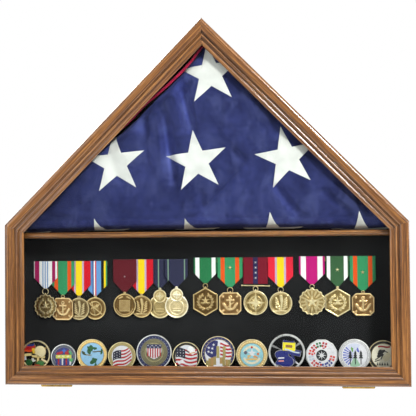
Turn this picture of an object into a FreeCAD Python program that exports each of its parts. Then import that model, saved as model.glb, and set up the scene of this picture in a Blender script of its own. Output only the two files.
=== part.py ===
import FreeCAD, Part
import math
import os
from collections import namedtuple

V = FreeCAD.Vector

# A house-shaped oak display case with a bottom-hinged glazed door, for a folded flag, medals and coins.
# Working frame, in millimetres: x to the viewer's right, y = 0 at the door's front face and growing
# backwards, z = 0 at the underside of the boards. write_part() moves all of it to the part's origin.

# ---- Driving dimensions ----
case_width = 610.0
wall_height = 243.0            # straight side, from the underside to the shoulder
apex_height = 553.0            # the roofs rise to here; their slope follows from it
case_depth = 96.0              # door front to rear edges
board = 12.7                   # thickness of the box's boards
door_thickness = 19.0
door_gap = 0.8                 # between the closed door and the box, taken up by the two bumpers
door_face = 28.5               # width of the door's mouldings

shelf_top = 231.0
shelf_thickness = 9.0
shelf_front = 21.8
shelf_dado = 4.0               # the shelf's ends go this far into the side boards

back_rabbet = 6.35             # width of the rabbet that the back panel sits in
back_front = 83.0              # front face of the back panel
back_thickness = 5.0
fit_gap = 0.15                 # around boards and pads that are dropped in place

backer_front = 67.0            # front face of the velvet-wrapped medal board
liner_thickness = 2.0

rail_low = 255.0               # hanging rail, let into the recess behind the back panel
rail_high = 305.0
rail_half_low = 275.0
rail_half_high = 225.0

hanger_spacing = 406.4         # 16 inches, the usual stud spacing
hanger_height = 280.0
hanger_hole_r = 4.75
hanger_slot_r = 2.25
hanger_rise = 11.0             # how far the slot runs above the entry hole
hanger_plate = 1.6
hanger_screw_heights = (-9.5, 20.0)    # from the entry hole
keyhole_width = 18.0
keyhole_reach = (-16.0, 24.0)          # ends of the plate, from the entry hole
pocket_width = 11.0
pocket_reach = (-5.8, 15.0)            # ends of the pocket for a wall screw's head

axis_drop = 2.7                # the hinge axis lies this far below the boards
knuckle_r = 2.4
pin_r = 1.2
running_clearance = 0.05
hinge_length = 46.0
hinge_x = 229.0
leaf_top = 11.5
leaf_thickness = 1.4
leaf_offset = 0.15             # leaf face to the plane of the hinge axis
knuckle_gap = 0.15
leaf_notch = 0.1               # a leaf stops here, over the other leaf's knuckles
pin_head_r = 1.9
pin_head = 0.6
pin_dome_r = 1.0               # the dome on each head narrows to this
pin_dome = 0.7

# Screws, as head radius, shank radius and length.
back_screw = (3.0, 1.5, 15.0)
hanger_screw = (2.6, 1.3, 7.6)
hinge_screw = (2.1, 1.05, 9.0)
back_screw_shares = (0.2, 0.8)     # where they sit along each side
hinge_screw_height = 6.4
hinge_screw_spacing = 16.0

# The door's section, as (inwards from the outer edge, up from the back). Arcs: centre, radius, degrees.
rabbet_start = 20.0            # the glass rabbet runs from here to the inner edge
rabbet_depth = 9.4
glass_thickness = 2.4
glass_back = 6.9               # height of the glass's rear face
glass_gap = 1.0                # around the glass, in its rabbet
round_over = ((5.0, 14.0), 5.0, 180, 90)
first_bead = ((11.0, 14.8), 3.4, 90, 0)
second_bead = ((18.2, 12.6), 2.6, 150, 0)
quirk = (14.4, 13.9)           # the groove between the beads
inner_quirk = (20.8, 11.3)     # the groove before the lip
lip = [(22.8, 11.3), (25.2, 12.0), (door_face, 10.6)]
stop_corners = [(20.3, 0.5), (24.6, 0.5), (26.5, 2.4), (26.5, 6.8), (20.3, 6.8)]

brad_r = 0.6
brad_length = 13.0
brad_head_r = 1.1
brad_head = 0.4
brad_height = 4.2              # above the door's back
brad_start = 26.5              # the glass stops' inner faces
brad_shares = (0.15, 0.5, 0.85)

magnet_r = 4.75
magnet_length = 5.0
magnet_set = 0.1               # below the roof board's front edge
strike_r = 5.0
strike_thickness = 1.2
catch_distance = 60.0          # from the apex, along the roof

foot_x = 270.0                 # rubber feet under the rear edge
foot_r = 6.0
foot_inset = 10.0
foot_chamfer = 0.8
dot_r = 3.5                    # soft dots that the door closes on
dot_thickness = 0.6
dot_drop = 28.0                # below the shoulders

flag_front = 24.0
flag_rest = 0.4                # clear of the shelf
# The bundle's sections: distance behind its front, inset from the case's outline, lift of the lower edge.
flag_sections = [(0.0, 22.0, 2.0), (7.0, 15.0, 0.0), (49.0, 14.0, 0.0), (56.0, 20.0, 2.0)]

rack_range = (34.0, 52.0)      # front and rear of the coin rack
rack_top = 22.0
groove_floor = 17.3            # where the coins stand
groove_slack = 0.3
second_groove = 6.0            # the wide part of the groove is this much longer than the last coin
coin_front = 40.5
coin_thickness = 3.0
coin_lean = 4.0                # degrees, tops leaning back
coin_gap = 1.3
coin_rest = 0.1                # clear of the groove's floor
coin_rim = 2.2
coin_sink = 0.35
coin_hole_ring = 0.62          # pierced coins, as shares of the radius
coin_hole_r = 0.2

ribbon_thickness = 1.3
ribbon_point = 18.0            # height of a folded ribbon's point
pendant_thickness = 2.4
pendant_rim = 1.8
pendant_sink = 0.4
octagon_cut = 0.36             # corner cut off an octagon, as a share of its half-width
scallop_depth = 1.6
scallop_points = 16
small_disc_r = 10.2            # the upper disc of a double pendant
small_disc_drop = 1.5
small_disc_rise = 0.8
clasp_half = 21.0
clasp_height = 4.0
clasp_thickness = 2.0
ring_wire_r = 0.6
ring_overlap = 1.0             # how far each ring reaches into what it hangs from
medal_rear = 65.4              # rear face of the ribbons, where they touch the mounting bars
bar_gap = 0.1
bar_inset = 1.0                # the mounting bars stop short of the outer ribbons' edges
bar_drop = (2.0, 8.0)          # their upper and lower edges, below the ribbons' tops

# ---- Values worked out from them ----
half_width = case_width / 2
box_front = door_thickness + door_gap
joint_plane = door_thickness + door_gap / 2
base_lift = axis_drop + knuckle_r
box_depth = case_depth - box_front
roof_pitch = math.atan((apex_height - wall_height) / half_width)
last_coin_front = coin_front + coin_thickness + groove_slack
edge_centre = board / 2

BOTTOM, RIGHT_SIDE, RIGHT_ROOF, LEFT_ROOF, LEFT_SIDE = range(5)

# Medals: ribbon centre and width, height of the ribbon's point, sideways tilt (positive brings the right
# edge forward over the next medal), and the pendant's shape, half-width and centre height.
Medal = namedtuple("Medal", "x width tip tilt shape size height")
medal_groups = {
    "a": (186.0, [
        Medal(-257.0, 39.0, 142.0, 0.13, "scalloped", 19.2, 115.0),
        Medal(-229.0, 38.0, 131.5, 0.13, "octagon", 17.4, 110.6),
        Medal(-203.0, 38.0, 130.5, 0.13, "round", 17.4, 110.8),
        Medal(-177.0, 39.0, 130.5, 0.13, "round", 17.6, 111.4)]),
    "b": (188.0, [
        Medal(-130.0, 38.0, 136.0, 0.13, "round", 18.4, 116.2),
        Medal(-103.5, 38.0, 133.0, 0.13, "round", 17.4, 114.2),
        Medal(-75.0, 37.0, 142.0, 0.0, "double", 18.2, 113.8),
        Medal(-48.5, 36.0, 144.0, -0.13, "double", 18.2, 114.6)]),
    "c": (190.0, [
        Medal(-3.4, 36.0, 148.6, 0.02, "hexagon", 19.3, 121.3),
        Medal(35.2, 39.0, 142.4, -0.02, "octagon", 17.3, 118.5),
        Medal(74.8, 37.6, 148.0, 0.0, "barred", 18.9, 119.6),
        Medal(113.6, 38.8, 142.8, 0.02, "round", 17.8, 118.6)]),
    "d": (191.0, [
        Medal(162.0, 39.6, 146.6, 0.08, "scalloped", 20.8, 121.0),
        Medal(200.8, 35.6, 143.4, 0.02, "hexagon", 19.2, 119.8),
        Medal(239.4, 39.6, 136.6, -0.02, "octagon", 17.2, 116.6)]),
}

coin_diameters = [46.0, 40.0, 47.8, 43.5, 55.0, 43.5, 52.5, 48.0, 56.0, 47.5, 48.5]
last_coin_diameter = 46.4      # the twelfth stands half behind the eleventh
twelve_sided_coin = 10
open_coins = (1, 9)            # pierced designs, with gaps inside the rim


# ---- Basic shapes ----
def outline(inset):
    """Corners (x, z) of the case's outline moved inwards, anticlockwise from the bottom left."""
    half = half_width - inset
    shoulder = wall_height - inset * (1 - math.sin(roof_pitch)) / math.cos(roof_pitch)
    apex = apex_height - inset / math.cos(roof_pitch)
    return [(-half, inset), (half, inset), (half, shoulder), (0, apex), (-half, shoulder)]


def plate(points, front, thickness):
    """A flat plate: its outline is in the x-z plane, and it runs backwards from y = front."""
    corners = [V(x, front, z) for x, z in points]
    return Part.Face(Part.makePolygon(corners + corners[:1])).extrude(V(0, thickness, 0))


def block(x_range, y_range, z_range):
    """A box between the low and high values of each axis."""
    size = [high - low for low, high in (x_range, y_range, z_range)]
    return Part.makeBox(*size, V(x_range[0], y_range[0], z_range[0]))


def rod(x, z, front, radius, length):
    """A cylinder along y."""
    return Part.makeCylinder(radius, length, V(x, front, z), V(0, 1, 0))


def mitred(side, outer, inner, front, thickness):
    """One straight member of the outline, mitred at both ends."""
    out = outline(outer)
    inn = outline(inner)
    end = (side + 1) % 5
    return plate([out[side], out[end], inn[end], inn[side]], front, thickness)


def moulded(side, section):
    """One mitred door member. The section's (s, h) are inwards from the outer edge and up from the back."""
    corners = outline(0)
    start = V(corners[side][0], 0, corners[side][1])
    stop = V(corners[(side + 1) % 5][0], 0, corners[(side + 1) % 5][1])
    along = (stop - start).normalize()
    inwards = V(-along.z, 0, along.x)
    edges = []
    for points in section:
        spots = [start + inwards * s + V(0, door_thickness - h, 0) for s, h in points]
        if len(spots) == 2:
            edges.append(Part.LineSegment(*spots).toShape())
        else:
            edges.append(Part.Arc(*spots).toShape())
    bar = Part.Face(Part.Wire(edges)).extrude(stop - start)
    return bar.common(mitred(side, 0, door_face, 0, door_thickness))


def arc_points(centre, radius, start_deg, end_deg):
    """Three points of an arc in the section's (s, h) plane."""
    spots = []
    for degrees in (start_deg, (start_deg + end_deg) / 2, end_deg):
        angle = math.radians(degrees)
        spots.append((centre[0] + radius * math.cos(angle), centre[1] + radius * math.sin(angle)))
    return spots


def screw_blank(x, z, head_y, into, head_r, shank_r, length):
    """A countersunk screw's solid shape along y. into is +1 when it is driven backwards."""
    point = V(x, head_y, z)
    body = Part.makeCone(head_r, shank_r, head_r - shank_r, point, V(0, into, 0))
    return body.fuse(Part.makeCylinder(shank_r, length, point, V(0, into, 0)))


def screw(x, z, head_y, into, head_r, shank_r, length):
    """The same screw with its cross recess."""
    recess = (head_r - shank_r) * 0.6
    low = min(head_y, head_y + into * recess)
    arm = head_r * 0.6
    slot = head_r * 0.14
    body = screw_blank(x, z, head_y, into, head_r, shank_r, length)
    body = body.cut(block((x - arm, x + arm), (low, low + recess), (z - slot, z + slot)))
    return body.cut(block((x - slot, x + slot), (low, low + recess), (z - arm, z + arm)))


def drilled(body, screws):
    """The body with a fitting hole for each screw."""
    for measures in screws:
        body = body.cut(screw_blank(*measures))
    return body


# ---- The box ----
def point_on_side(side, share, inset):
    """A point (x, z) part of the way along one side of the outline."""
    corners = outline(inset)
    x0, z0 = corners[side]
    x1, z1 = corners[(side + 1) % 5]
    return (x0 + (x1 - x0) * share, z0 + (z1 - z0) * share)


def catch_spots():
    """Centres of the two magnetic catches, on the middle of the roof boards' edges."""
    apex = outline(edge_centre)[3]
    run = catch_distance * math.cos(roof_pitch)
    fall = catch_distance * math.sin(roof_pitch)
    return [(sign * run, apex[1] - fall) for sign in (-1, 1)]


def back_screw_spots():
    """Two screws a side, on the ledge of the rabbet."""
    ledge = (back_rabbet + board) / 2
    return [point_on_side(side, share, ledge) for side in range(5) for share in back_screw_shares]


def bumper_spots():
    """The two soft dots that the door closes on, just below the shoulders."""
    return [(sign * (half_width - edge_centre), wall_height - dot_drop) for sign in (-1, 1)]


def back_screws():
    """Measures of the screws that hold the back panel."""
    return [(x, z, back_front + back_thickness, -1, *back_screw) for x, z in back_screw_spots()]


def magnets():
    return [rod(x, z, box_front + magnet_set, magnet_r, magnet_length) for x, z in catch_spots()]


def box_board(side):
    """A mitred board with the rabbet for the back panel, and the holes for what is set into it."""
    body = mitred(side, 0, board, box_front, box_depth)
    body = body.cut(plate(outline(back_rabbet), back_front, case_depth))
    if side in (LEFT_SIDE, RIGHT_SIDE):
        body = body.cut(shelf())
    if side in (LEFT_ROOF, RIGHT_ROOF):
        for x, z in catch_spots():
            body = body.cut(rod(x, z, box_front, magnet_r, magnet_set + magnet_length))
    if side == BOTTOM:
        for sign in (-1, 1):
            body = body.cut(leaf_mortise(sign, box_front))
        body = drilled(body, hinge_screws("case"))
    return drilled(body, back_screws())


def shelf():
    """The flag shelf: a bullnosed board whose ends are let into the side boards."""
    half = half_width - board + shelf_dado
    nose_r = shelf_thickness / 2
    centre_z = shelf_top - nose_r
    body = block((-half, half), (shelf_front + nose_r, back_front), (shelf_top - shelf_thickness, shelf_top))
    nose = Part.makeCylinder(nose_r, 2 * half, V(-half, shelf_front + nose_r, centre_z), V(1, 0, 0))
    return body.fuse(nose).removeSplitter()


def back_panel():
    return drilled(plate(outline(back_rabbet + fit_gap), back_front, back_thickness), back_screws())


def medal_backer():
    half = half_width - board - fit_gap
    top = shelf_top - shelf_thickness - fit_gap
    return block((-half, half), (backer_front, back_front), (board + fit_gap, top))


def chamber_section(inset, bottom):
    """The flag chamber's outline moved inwards: the part of the case's outline above a height."""
    corners = outline(inset)
    half = corners[1][0]
    return [(-half, bottom), (half, bottom)] + corners[2:]


def flag_liner():
    section = chamber_section(board + 2 * fit_gap, shelf_top + fit_gap)
    return plate(section, back_front - liner_thickness, liner_thickness)


# ---- Hanging hardware ----
def hanger_screws():
    """Measures of the screws above and below each keyhole."""
    spots = [(sign * hanger_spacing / 2, hanger_height + dz) for sign in (-1, 1) for dz in hanger_screw_heights]
    return [(x, z, case_depth, -1, *hanger_screw) for x, z in spots]


def keyhole_blank(sign, width, reach, front, thickness):
    """A plate with round ends, standing on end."""
    x = sign * hanger_spacing / 2
    low = hanger_height + reach[0]
    high = hanger_height + reach[1]
    r = width / 2
    body = block((x - r, x + r), (front, front + thickness), (low + r, high - r))
    body = body.fuse(rod(x, low + r, front, r, thickness))
    return body.fuse(rod(x, high - r, front, r, thickness)).removeSplitter()


def keyhole_outline(sign):
    """The keyhole plate's body, which the rail's recess shares."""
    return keyhole_blank(sign, keyhole_width, keyhole_reach, case_depth - hanger_plate, hanger_plate)


def keyhole_plate(sign):
    x = sign * hanger_spacing / 2
    front = case_depth - hanger_plate
    body = keyhole_outline(sign)
    body = body.cut(rod(x, hanger_height, front, hanger_hole_r, hanger_plate))
    body = body.cut(rod(x, hanger_height + hanger_rise, front, hanger_slot_r, hanger_plate))
    slot = block((x - hanger_slot_r, x + hanger_slot_r), (front, case_depth),
                 (hanger_height, hanger_height + hanger_rise))
    return drilled(body.cut(slot), hanger_screws())


def hanging_rail():
    """A board across the back, with pockets behind the keyholes for the heads of the wall screws."""
    front = back_front + back_thickness
    points = [(-rail_half_low, rail_low), (rail_half_low, rail_low),
              (rail_half_high, rail_high), (-rail_half_high, rail_high)]
    body = plate(points, front, case_depth - front)
    for sign in (-1, 1):
        body = body.cut(keyhole_outline(sign))
        body = body.cut(keyhole_blank(sign, pocket_width, pocket_reach, front, case_depth - front))
    return drilled(body, hanger_screws())


def rear_bumpers():
    """Rubber feet under the rear edge; the hinge knuckles carry the front."""
    feet = []
    for x in (-foot_x, foot_x):
        foot = Part.makeCylinder(foot_r, base_lift, V(x, case_depth - foot_inset, -base_lift), V(0, 0, 1))
        lower_rim = [edge for edge in foot.Edges if edge.Closed and edge.CenterOfMass.z < -base_lift / 2]
        feet.append(foot.makeChamfer(foot_chamfer, lower_rim))
    return feet


def door_bumpers():
    return [rod(x, z, box_front - dot_thickness, dot_r, dot_thickness) for x, z in bumper_spots()]


# ---- Hinges ----
def knuckle_span(sign, index):
    """Low and high x of one of a hinge's five knuckles."""
    length = (hinge_length - 4 * knuckle_gap) / 5
    low = sign * hinge_x - hinge_length / 2 + index * (length + knuckle_gap)
    return low, low + length


def leaf_range(owner):
    """Low and high y of a leaf: the case's lies behind the axis, the door's in front of it."""
    if owner == "case":
        return joint_plane + leaf_offset, joint_plane + leaf_offset + leaf_thickness
    return joint_plane - leaf_offset - leaf_thickness, joint_plane - leaf_offset


def leaf_plate(sign, owner):
    low = sign * hinge_x - hinge_length / 2
    return block((low, low + hinge_length), leaf_range(owner), (leaf_notch, leaf_top))


def leaf_mortise(sign, face):
    """The recess for a leaf in the board whose face is at y = face."""
    owner = "case" if face > joint_plane else "door"
    low = sign * hinge_x - hinge_length / 2
    return block((low, low + hinge_length), leaf_range(owner), (-1.0, leaf_top))


def hinge_screws(owner):
    """Measures of the three screws in each leaf, heads flush with the leaf's showing face."""
    near, far = leaf_range(owner)
    head_y, into = (near, 1) if owner == "case" else (far, -1)
    return [(sign * hinge_x + step * hinge_screw_spacing, hinge_screw_height, head_y, into, *hinge_screw)
            for sign in (-1, 1) for step in (-1, 0, 1)]


def hinge_leaf(sign, owner):
    """A leaf with its knuckles: the case's has the first, third and fifth, pressed on the pin."""
    body = leaf_plate(sign, owner)
    bore_r = pin_r if owner == "case" else pin_r + running_clearance
    for index in ((0, 2, 4) if owner == "case" else (1, 3)):
        low, high = knuckle_span(sign, index)
        body = body.fuse(block((low, high), leaf_range(owner), (-axis_drop, leaf_notch)))
        body = body.fuse(Part.makeCylinder(knuckle_r, high - low, V(low, joint_plane, -axis_drop), V(1, 0, 0)))
    bore_start = V(sign * hinge_x - hinge_length, joint_plane, -axis_drop)
    body = body.cut(Part.makeCylinder(bore_r, 2 * hinge_length, bore_start, V(1, 0, 0)))
    return drilled(body, hinge_screws(owner)).removeSplitter()


def hinge_pin(sign):
    """A pin with a domed head at each end."""
    low = sign * hinge_x - hinge_length / 2
    body = Part.makeCylinder(pin_r, hinge_length, V(low, joint_plane, -axis_drop), V(1, 0, 0))
    for x, direction in ((low, -1), (low + hinge_length, 1)):
        point = V(x, joint_plane, -axis_drop)
        way = V(direction, 0, 0)
        body = body.fuse(Part.makeCylinder(pin_head_r, pin_head, point, way))
        body = body.fuse(Part.makeCone(pin_head_r, pin_dome_r, pin_dome, point + way * pin_head, way))
    return body


# ---- The door ----
def door_section():
    """The moulding's edges in order round the section, as lines and three-point arcs."""
    over = arc_points(*round_over)
    first = arc_points(*first_bead)
    second = arc_points(*second_bead)
    rabbet_corner = (rabbet_start, rabbet_depth)
    return [
        [(0.0, 0.0), over[0]],
        over,
        [over[2], first[0]],
        first,
        [first[2], quirk],
        [quirk, second[0]],
        second,
        [second[2], inner_quirk],
        [inner_quirk, lip[0]],
        lip,
        [lip[2], (door_face, rabbet_depth)],
        [(door_face, rabbet_depth), rabbet_corner],
        [rabbet_corner, (rabbet_start, 0.0)],
        [(rabbet_start, 0.0), (0.0, 0.0)],
    ]


def door_member(side):
    body = moulded(side, door_section())
    if side in (LEFT_ROOF, RIGHT_ROOF):
        for x, z in catch_spots():
            body = body.cut(rod(x, z, door_thickness - strike_thickness, strike_r, strike_thickness))
    if side == BOTTOM:
        for sign in (-1, 1):
            body = body.cut(leaf_mortise(sign, door_thickness))
        body = drilled(body, hinge_screws("door"))
    for piece in stop_brads():
        body = body.cut(piece)
    return body


def glass_pane():
    front = door_thickness - glass_back - glass_thickness
    return plate(outline(rabbet_start + glass_gap), front, glass_thickness)


def glass_stops():
    """Wood strips that hold the glass in the rabbet."""
    section = [[stop_corners[i], stop_corners[(i + 1) % 5]] for i in range(5)]
    stops = [moulded(side, section) for side in range(5)]
    for piece in stop_brads():
        stops = [stop.cut(piece) for stop in stops]
    return stops


def stop_brads():
    """Headed brads driven outwards through the stops into the mouldings, three a side."""
    brads = []
    for side in range(5):
        x0, z0 = point_on_side(side, 0.0, 0)
        x1, z1 = point_on_side(side, 1.0, 0)
        along = V(x1 - x0, 0, z1 - z0).normalize()
        outwards = V(along.z, 0, -along.x)
        for share in brad_shares:
            x, z = point_on_side(side, share, brad_start)
            spot = V(x, door_thickness - brad_height, z)
            head = Part.makeCylinder(brad_head_r, brad_head, spot - outwards * brad_head, outwards)
            brads.append(Part.makeCylinder(brad_r, brad_length, spot, outwards).fuse(head))
    return brads


def strikes():
    """Steel discs in the door's back, opposite the magnets."""
    return [rod(x, z, door_thickness - strike_thickness, strike_r, strike_thickness) for x, z in catch_spots()]


# ---- What the case holds ----
def folded_flag():
    """The cloth bundle as a plain solid: three-cornered, with its front and rear edges rounded off."""
    wires = []
    for depth, inset, lift in flag_sections:
        section = chamber_section(inset, shelf_top + flag_rest + lift)
        corners = [V(x, flag_front + depth, z) for x, z in section]
        wires.append(Part.makePolygon(corners + corners[:1]))
    return Part.makeLoft(wires, True, True)


def medal_turn(medal, body):
    """Tilt a medal about its upright edge and set it against the mounting bar."""
    near_edge = medal.x - medal.width / 2
    body.rotate(V(0, 0, 0), V(0, 0, 1), -math.degrees(math.atan(medal.tilt)))
    body.translate(V(near_edge, medal_rear + min(0.0, medal.tilt * medal.width), 0))
    return body


def ribbon(medal, top):
    """A folded ribbon: straight sides, then a point, or a square end above a clasp bar."""
    w = medal.width
    if medal.shape == "barred":
        points = [(0, medal.tip), (w, medal.tip), (w, top), (0, top)]
    else:
        low = medal.tip + ribbon_point
        points = [(0, low), (w / 2, medal.tip), (w, low), (w, top), (0, top)]
    return medal_turn(medal, plate(points, -ribbon_thickness, ribbon_thickness))


def polygon(count, x, z, corner_r, turn_deg):
    """Corners of a regular polygon."""
    spots = []
    for k in range(count):
        angle = math.radians(turn_deg + 360.0 * k / count)
        spots.append((x + corner_r * math.cos(angle), z + corner_r * math.sin(angle)))
    return spots


def cut_square(x, z, half, cut):
    """Corners of a square with its own corners cut off."""
    near = half - cut
    spots = [(half, near), (near, half), (-near, half), (-half, near)]
    spots += [(-dx, -dz) for dx, dz in spots]
    return [(x + dx, z + dz) for dx, dz in spots]


def scalloped(x, z, radius, inset):
    """Corners of a rim of short points."""
    spots = []
    for k in range(2 * scallop_points):
        r = radius - inset - (0 if k % 2 == 0 else scallop_depth)
        angle = math.pi * k / scallop_points
        spots.append((x + r * math.cos(angle), z + r * math.sin(angle)))
    return spots


def pendant_body(shape, x, z, size):
    """A struck pendant: a plate with a sunk field inside a raised rim."""
    front = -pendant_thickness
    if shape == "hexagon":
        corner = size / math.cos(math.radians(30))
        outer = plate(polygon(6, x, z, corner, 30), front, pendant_thickness)
        field = plate(polygon(6, x, z, corner - pendant_rim, 30), front, pendant_sink)
    elif shape == "octagon":
        cut = octagon_cut * size
        inner_cut = cut - pendant_rim * (2 - math.sqrt(2))
        outer = plate(cut_square(x, z, size, cut), front, pendant_thickness)
        field = plate(cut_square(x, z, size - pendant_rim, inner_cut), front, pendant_sink)
    elif shape == "scalloped":
        outer = plate(scalloped(x, z, size, 0), front, pendant_thickness)
        field = plate(scalloped(x, z, size, pendant_rim + scallop_depth / 2), front, pendant_sink)
    else:
        outer = rod(x, z, front, size, pendant_thickness)
        field = rod(x, z, front, size - pendant_rim, pendant_sink)
    return outer.cut(field)


def pendant(medal):
    """The pendant with its ring, and the small upper disc or the clasp bar that some have."""
    x = medal.width / 2
    top = medal.height + medal.size
    if medal.shape == "hexagon":
        top = medal.height + medal.size / math.cos(math.radians(30))
    body = pendant_body(medal.shape, x, medal.height, medal.size)
    if medal.shape == "double":
        small_z = medal.tip - small_disc_drop - small_disc_r
        small_thickness = pendant_thickness + small_disc_rise
        body = body.fuse(rod(x, small_z, -small_thickness, small_disc_r, small_thickness))
        top = small_z + small_disc_r
    hook = medal.tip
    if medal.shape == "barred":
        hook = medal.tip - clasp_height
        body = body.fuse(block((x - clasp_half, x + clasp_half), (-clasp_thickness, 0.0), (hook, medal.tip)))
    ring_r = (hook - top) / 2 + ring_overlap
    middle = V(x, -pendant_thickness / 2, (hook + top) / 2)
    body = body.fuse(Part.makeTorus(ring_r, ring_wire_r, middle, V(0, 1, 0)))
    return medal_turn(medal, body)


def mounting_bars():
    """A thin bar behind each group's ribbons, pinned to the velvet board."""
    bars = []
    for top, medals in medal_groups.values():
        left = medals[0].x - medals[0].width / 2 + bar_inset
        right = medals[-1].x + medals[-1].width / 2 - bar_inset
        heights = (top - bar_drop[1], top - bar_drop[0])
        bars.append(block((left, right), (medal_rear + bar_gap, backer_front), heights))
    return bars


def leaned(body):
    """Lean something back about the line where the coins stand."""
    body.rotate(V(0, coin_front + coin_thickness, groove_floor), V(1, 0, 0), -coin_lean)
    return body


def coin_groove(x_range, front, back):
    """What is cut from the rack for a groove, leaned like the coins."""
    return leaned(block(x_range, (front, back), (groove_floor, 2 * rack_top)))


def coin_rack():
    """A black rail along the floor with a slanted groove, wider at the right-hand end for a second coin."""
    half = half_width - board - fit_gap
    body = block((-half, half), rack_range, (board, rack_top))
    first_back = coin_front + coin_thickness + groove_slack
    second_back = last_coin_front + coin_thickness + groove_slack
    body = body.cut(coin_groove((-half - 1, half + 1), coin_front - groove_slack, first_back))
    return body.cut(coin_groove((half - last_coin_diameter - second_groove, half + 1), coin_front, second_back))


def coin_places():
    """Each coin's x, radius and front y: side by side from the left wall, the last one behind."""
    places = []
    x = -(half_width - board) + coin_gap + coin_diameters[0] / 2
    previous = None
    for diameter in coin_diameters:
        r = diameter / 2
        if previous:
            reach = r + previous + coin_gap
            x += math.sqrt(reach ** 2 - (r - previous) ** 2)
        places.append((x, r, coin_front))
        previous = r
    last_r = last_coin_diameter / 2
    last_x = half_width - board - coin_gap - last_r
    places.append((last_x, last_r, last_coin_front))
    return places


def coin(number, x, r, front):
    """A coin standing on edge, with a raised rim on both faces."""
    z = groove_floor + coin_rest + r
    if number == twelve_sided_coin:
        body = plate(polygon(12, x, z, r / math.cos(math.radians(15)), 15), front, coin_thickness)
    else:
        body = rod(x, z, front, r, coin_thickness)
    body = body.cut(rod(x, z, front, r - coin_rim, coin_sink))
    body = body.cut(rod(x, z, front + coin_thickness - coin_sink, r - coin_rim, coin_sink))
    if number in open_coins:
        for angle_deg in (30, 150, 270):
            angle = math.radians(angle_deg)
            hole_x = x + coin_hole_ring * r * math.cos(angle)
            hole_z = z + coin_hole_ring * r * math.sin(angle)
            body = body.cut(rod(hole_x, hole_z, front, coin_hole_r * r, coin_thickness))
    return leaned(body)


# ---- Everything, by node ----
def all_nodes():
    nodes = {
        "bottom_board": [box_board(BOTTOM)],
        "left_side_board": [box_board(LEFT_SIDE)],
        "right_side_board": [box_board(RIGHT_SIDE)],
        "left_roof_board": [box_board(LEFT_ROOF)],
        "right_roof_board": [box_board(RIGHT_ROOF)],
        "flag_shelf": [shelf()],
        "back_panel": [back_panel()],
        "back_panel_screws": [screw(*measures) for measures in back_screws()],
        "medal_backer": [medal_backer()],
        "flag_liner": [flag_liner()],
        "hanging_rail": [hanging_rail()],
        "left_keyhole_plate": [keyhole_plate(-1)],
        "right_keyhole_plate": [keyhole_plate(1)],
        "hanger_screws": [screw(*measures) for measures in hanger_screws()],
        "rear_bumpers": rear_bumpers(),
        "door_bumpers": door_bumpers(),
        "catch_magnets": magnets(),
        "hinge_case_screws": [screw(*measures) for measures in hinge_screws("case")],
        "hinge_door_screws": [screw(*measures) for measures in hinge_screws("door")],
        "door_bottom_rail": [door_member(BOTTOM)],
        "door_left_stile": [door_member(LEFT_SIDE)],
        "door_right_stile": [door_member(RIGHT_SIDE)],
        "door_left_rafter": [door_member(LEFT_ROOF)],
        "door_right_rafter": [door_member(RIGHT_ROOF)],
        "glass_pane": [glass_pane()],
        "glass_stops": glass_stops(),
        "stop_brads": stop_brads(),
        "catch_strikes": strikes(),
        "folded_flag": [folded_flag()],
        "medal_bars": mounting_bars(),
        "coin_rack": [coin_rack()],
    }
    for name, sign in (("left", -1), ("right", 1)):
        nodes[name + "_hinge_case_leaf"] = [hinge_leaf(sign, "case")]
        nodes[name + "_hinge_door_leaf"] = [hinge_leaf(sign, "door")]
        nodes[name + "_hinge_pin"] = [hinge_pin(sign)]
    for group, (top, medals) in medal_groups.items():
        nodes["medal_ribbons_" + group] = [ribbon(medal, top) for medal in medals]
        nodes["medal_pendants_" + group] = [pendant(medal) for medal in medals]
    for number, (x, r, front) in enumerate(coin_places(), 1):
        nodes["coin_%02d" % number] = [coin(number, x, r, front)]
    return nodes


def write_part():
    """Move everything to the part's origin, the centre of the base, and write one file a node."""
    os.makedirs("parts", exist_ok=True)
    for name, solids in all_nodes().items():
        shape = solids[0] if len(solids) == 1 else Part.makeCompound(solids)
        shape.translate(V(0, -case_depth / 2, base_lift))
        if not shape.isValid():
            print("not valid:", name)
        shape.exportStep("parts/%s.step" % name)


write_part()
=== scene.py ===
import math

import bmesh
import bpy
import numpy as np
from mathutils import Matrix, Vector
from mathutils.bvhtree import BVHTree


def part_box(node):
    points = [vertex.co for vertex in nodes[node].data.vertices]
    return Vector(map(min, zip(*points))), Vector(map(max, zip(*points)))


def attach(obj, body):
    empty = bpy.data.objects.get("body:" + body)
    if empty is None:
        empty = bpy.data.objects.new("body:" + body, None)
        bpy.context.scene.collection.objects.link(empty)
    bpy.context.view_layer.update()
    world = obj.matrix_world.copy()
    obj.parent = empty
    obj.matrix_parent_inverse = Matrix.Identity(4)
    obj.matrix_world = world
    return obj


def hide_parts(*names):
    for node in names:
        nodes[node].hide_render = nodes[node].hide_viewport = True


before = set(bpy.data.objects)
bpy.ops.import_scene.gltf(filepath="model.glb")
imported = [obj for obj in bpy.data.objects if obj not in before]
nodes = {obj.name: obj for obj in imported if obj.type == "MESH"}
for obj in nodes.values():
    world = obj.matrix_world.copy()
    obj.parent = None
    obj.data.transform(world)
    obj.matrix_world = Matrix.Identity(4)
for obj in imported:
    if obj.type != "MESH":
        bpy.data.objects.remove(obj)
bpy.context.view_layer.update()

MM = 0.001
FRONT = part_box("door_bottom_rail")[0].y       # the door's front face
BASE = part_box("bottom_board")[0].z            # the underside of the boards

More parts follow.
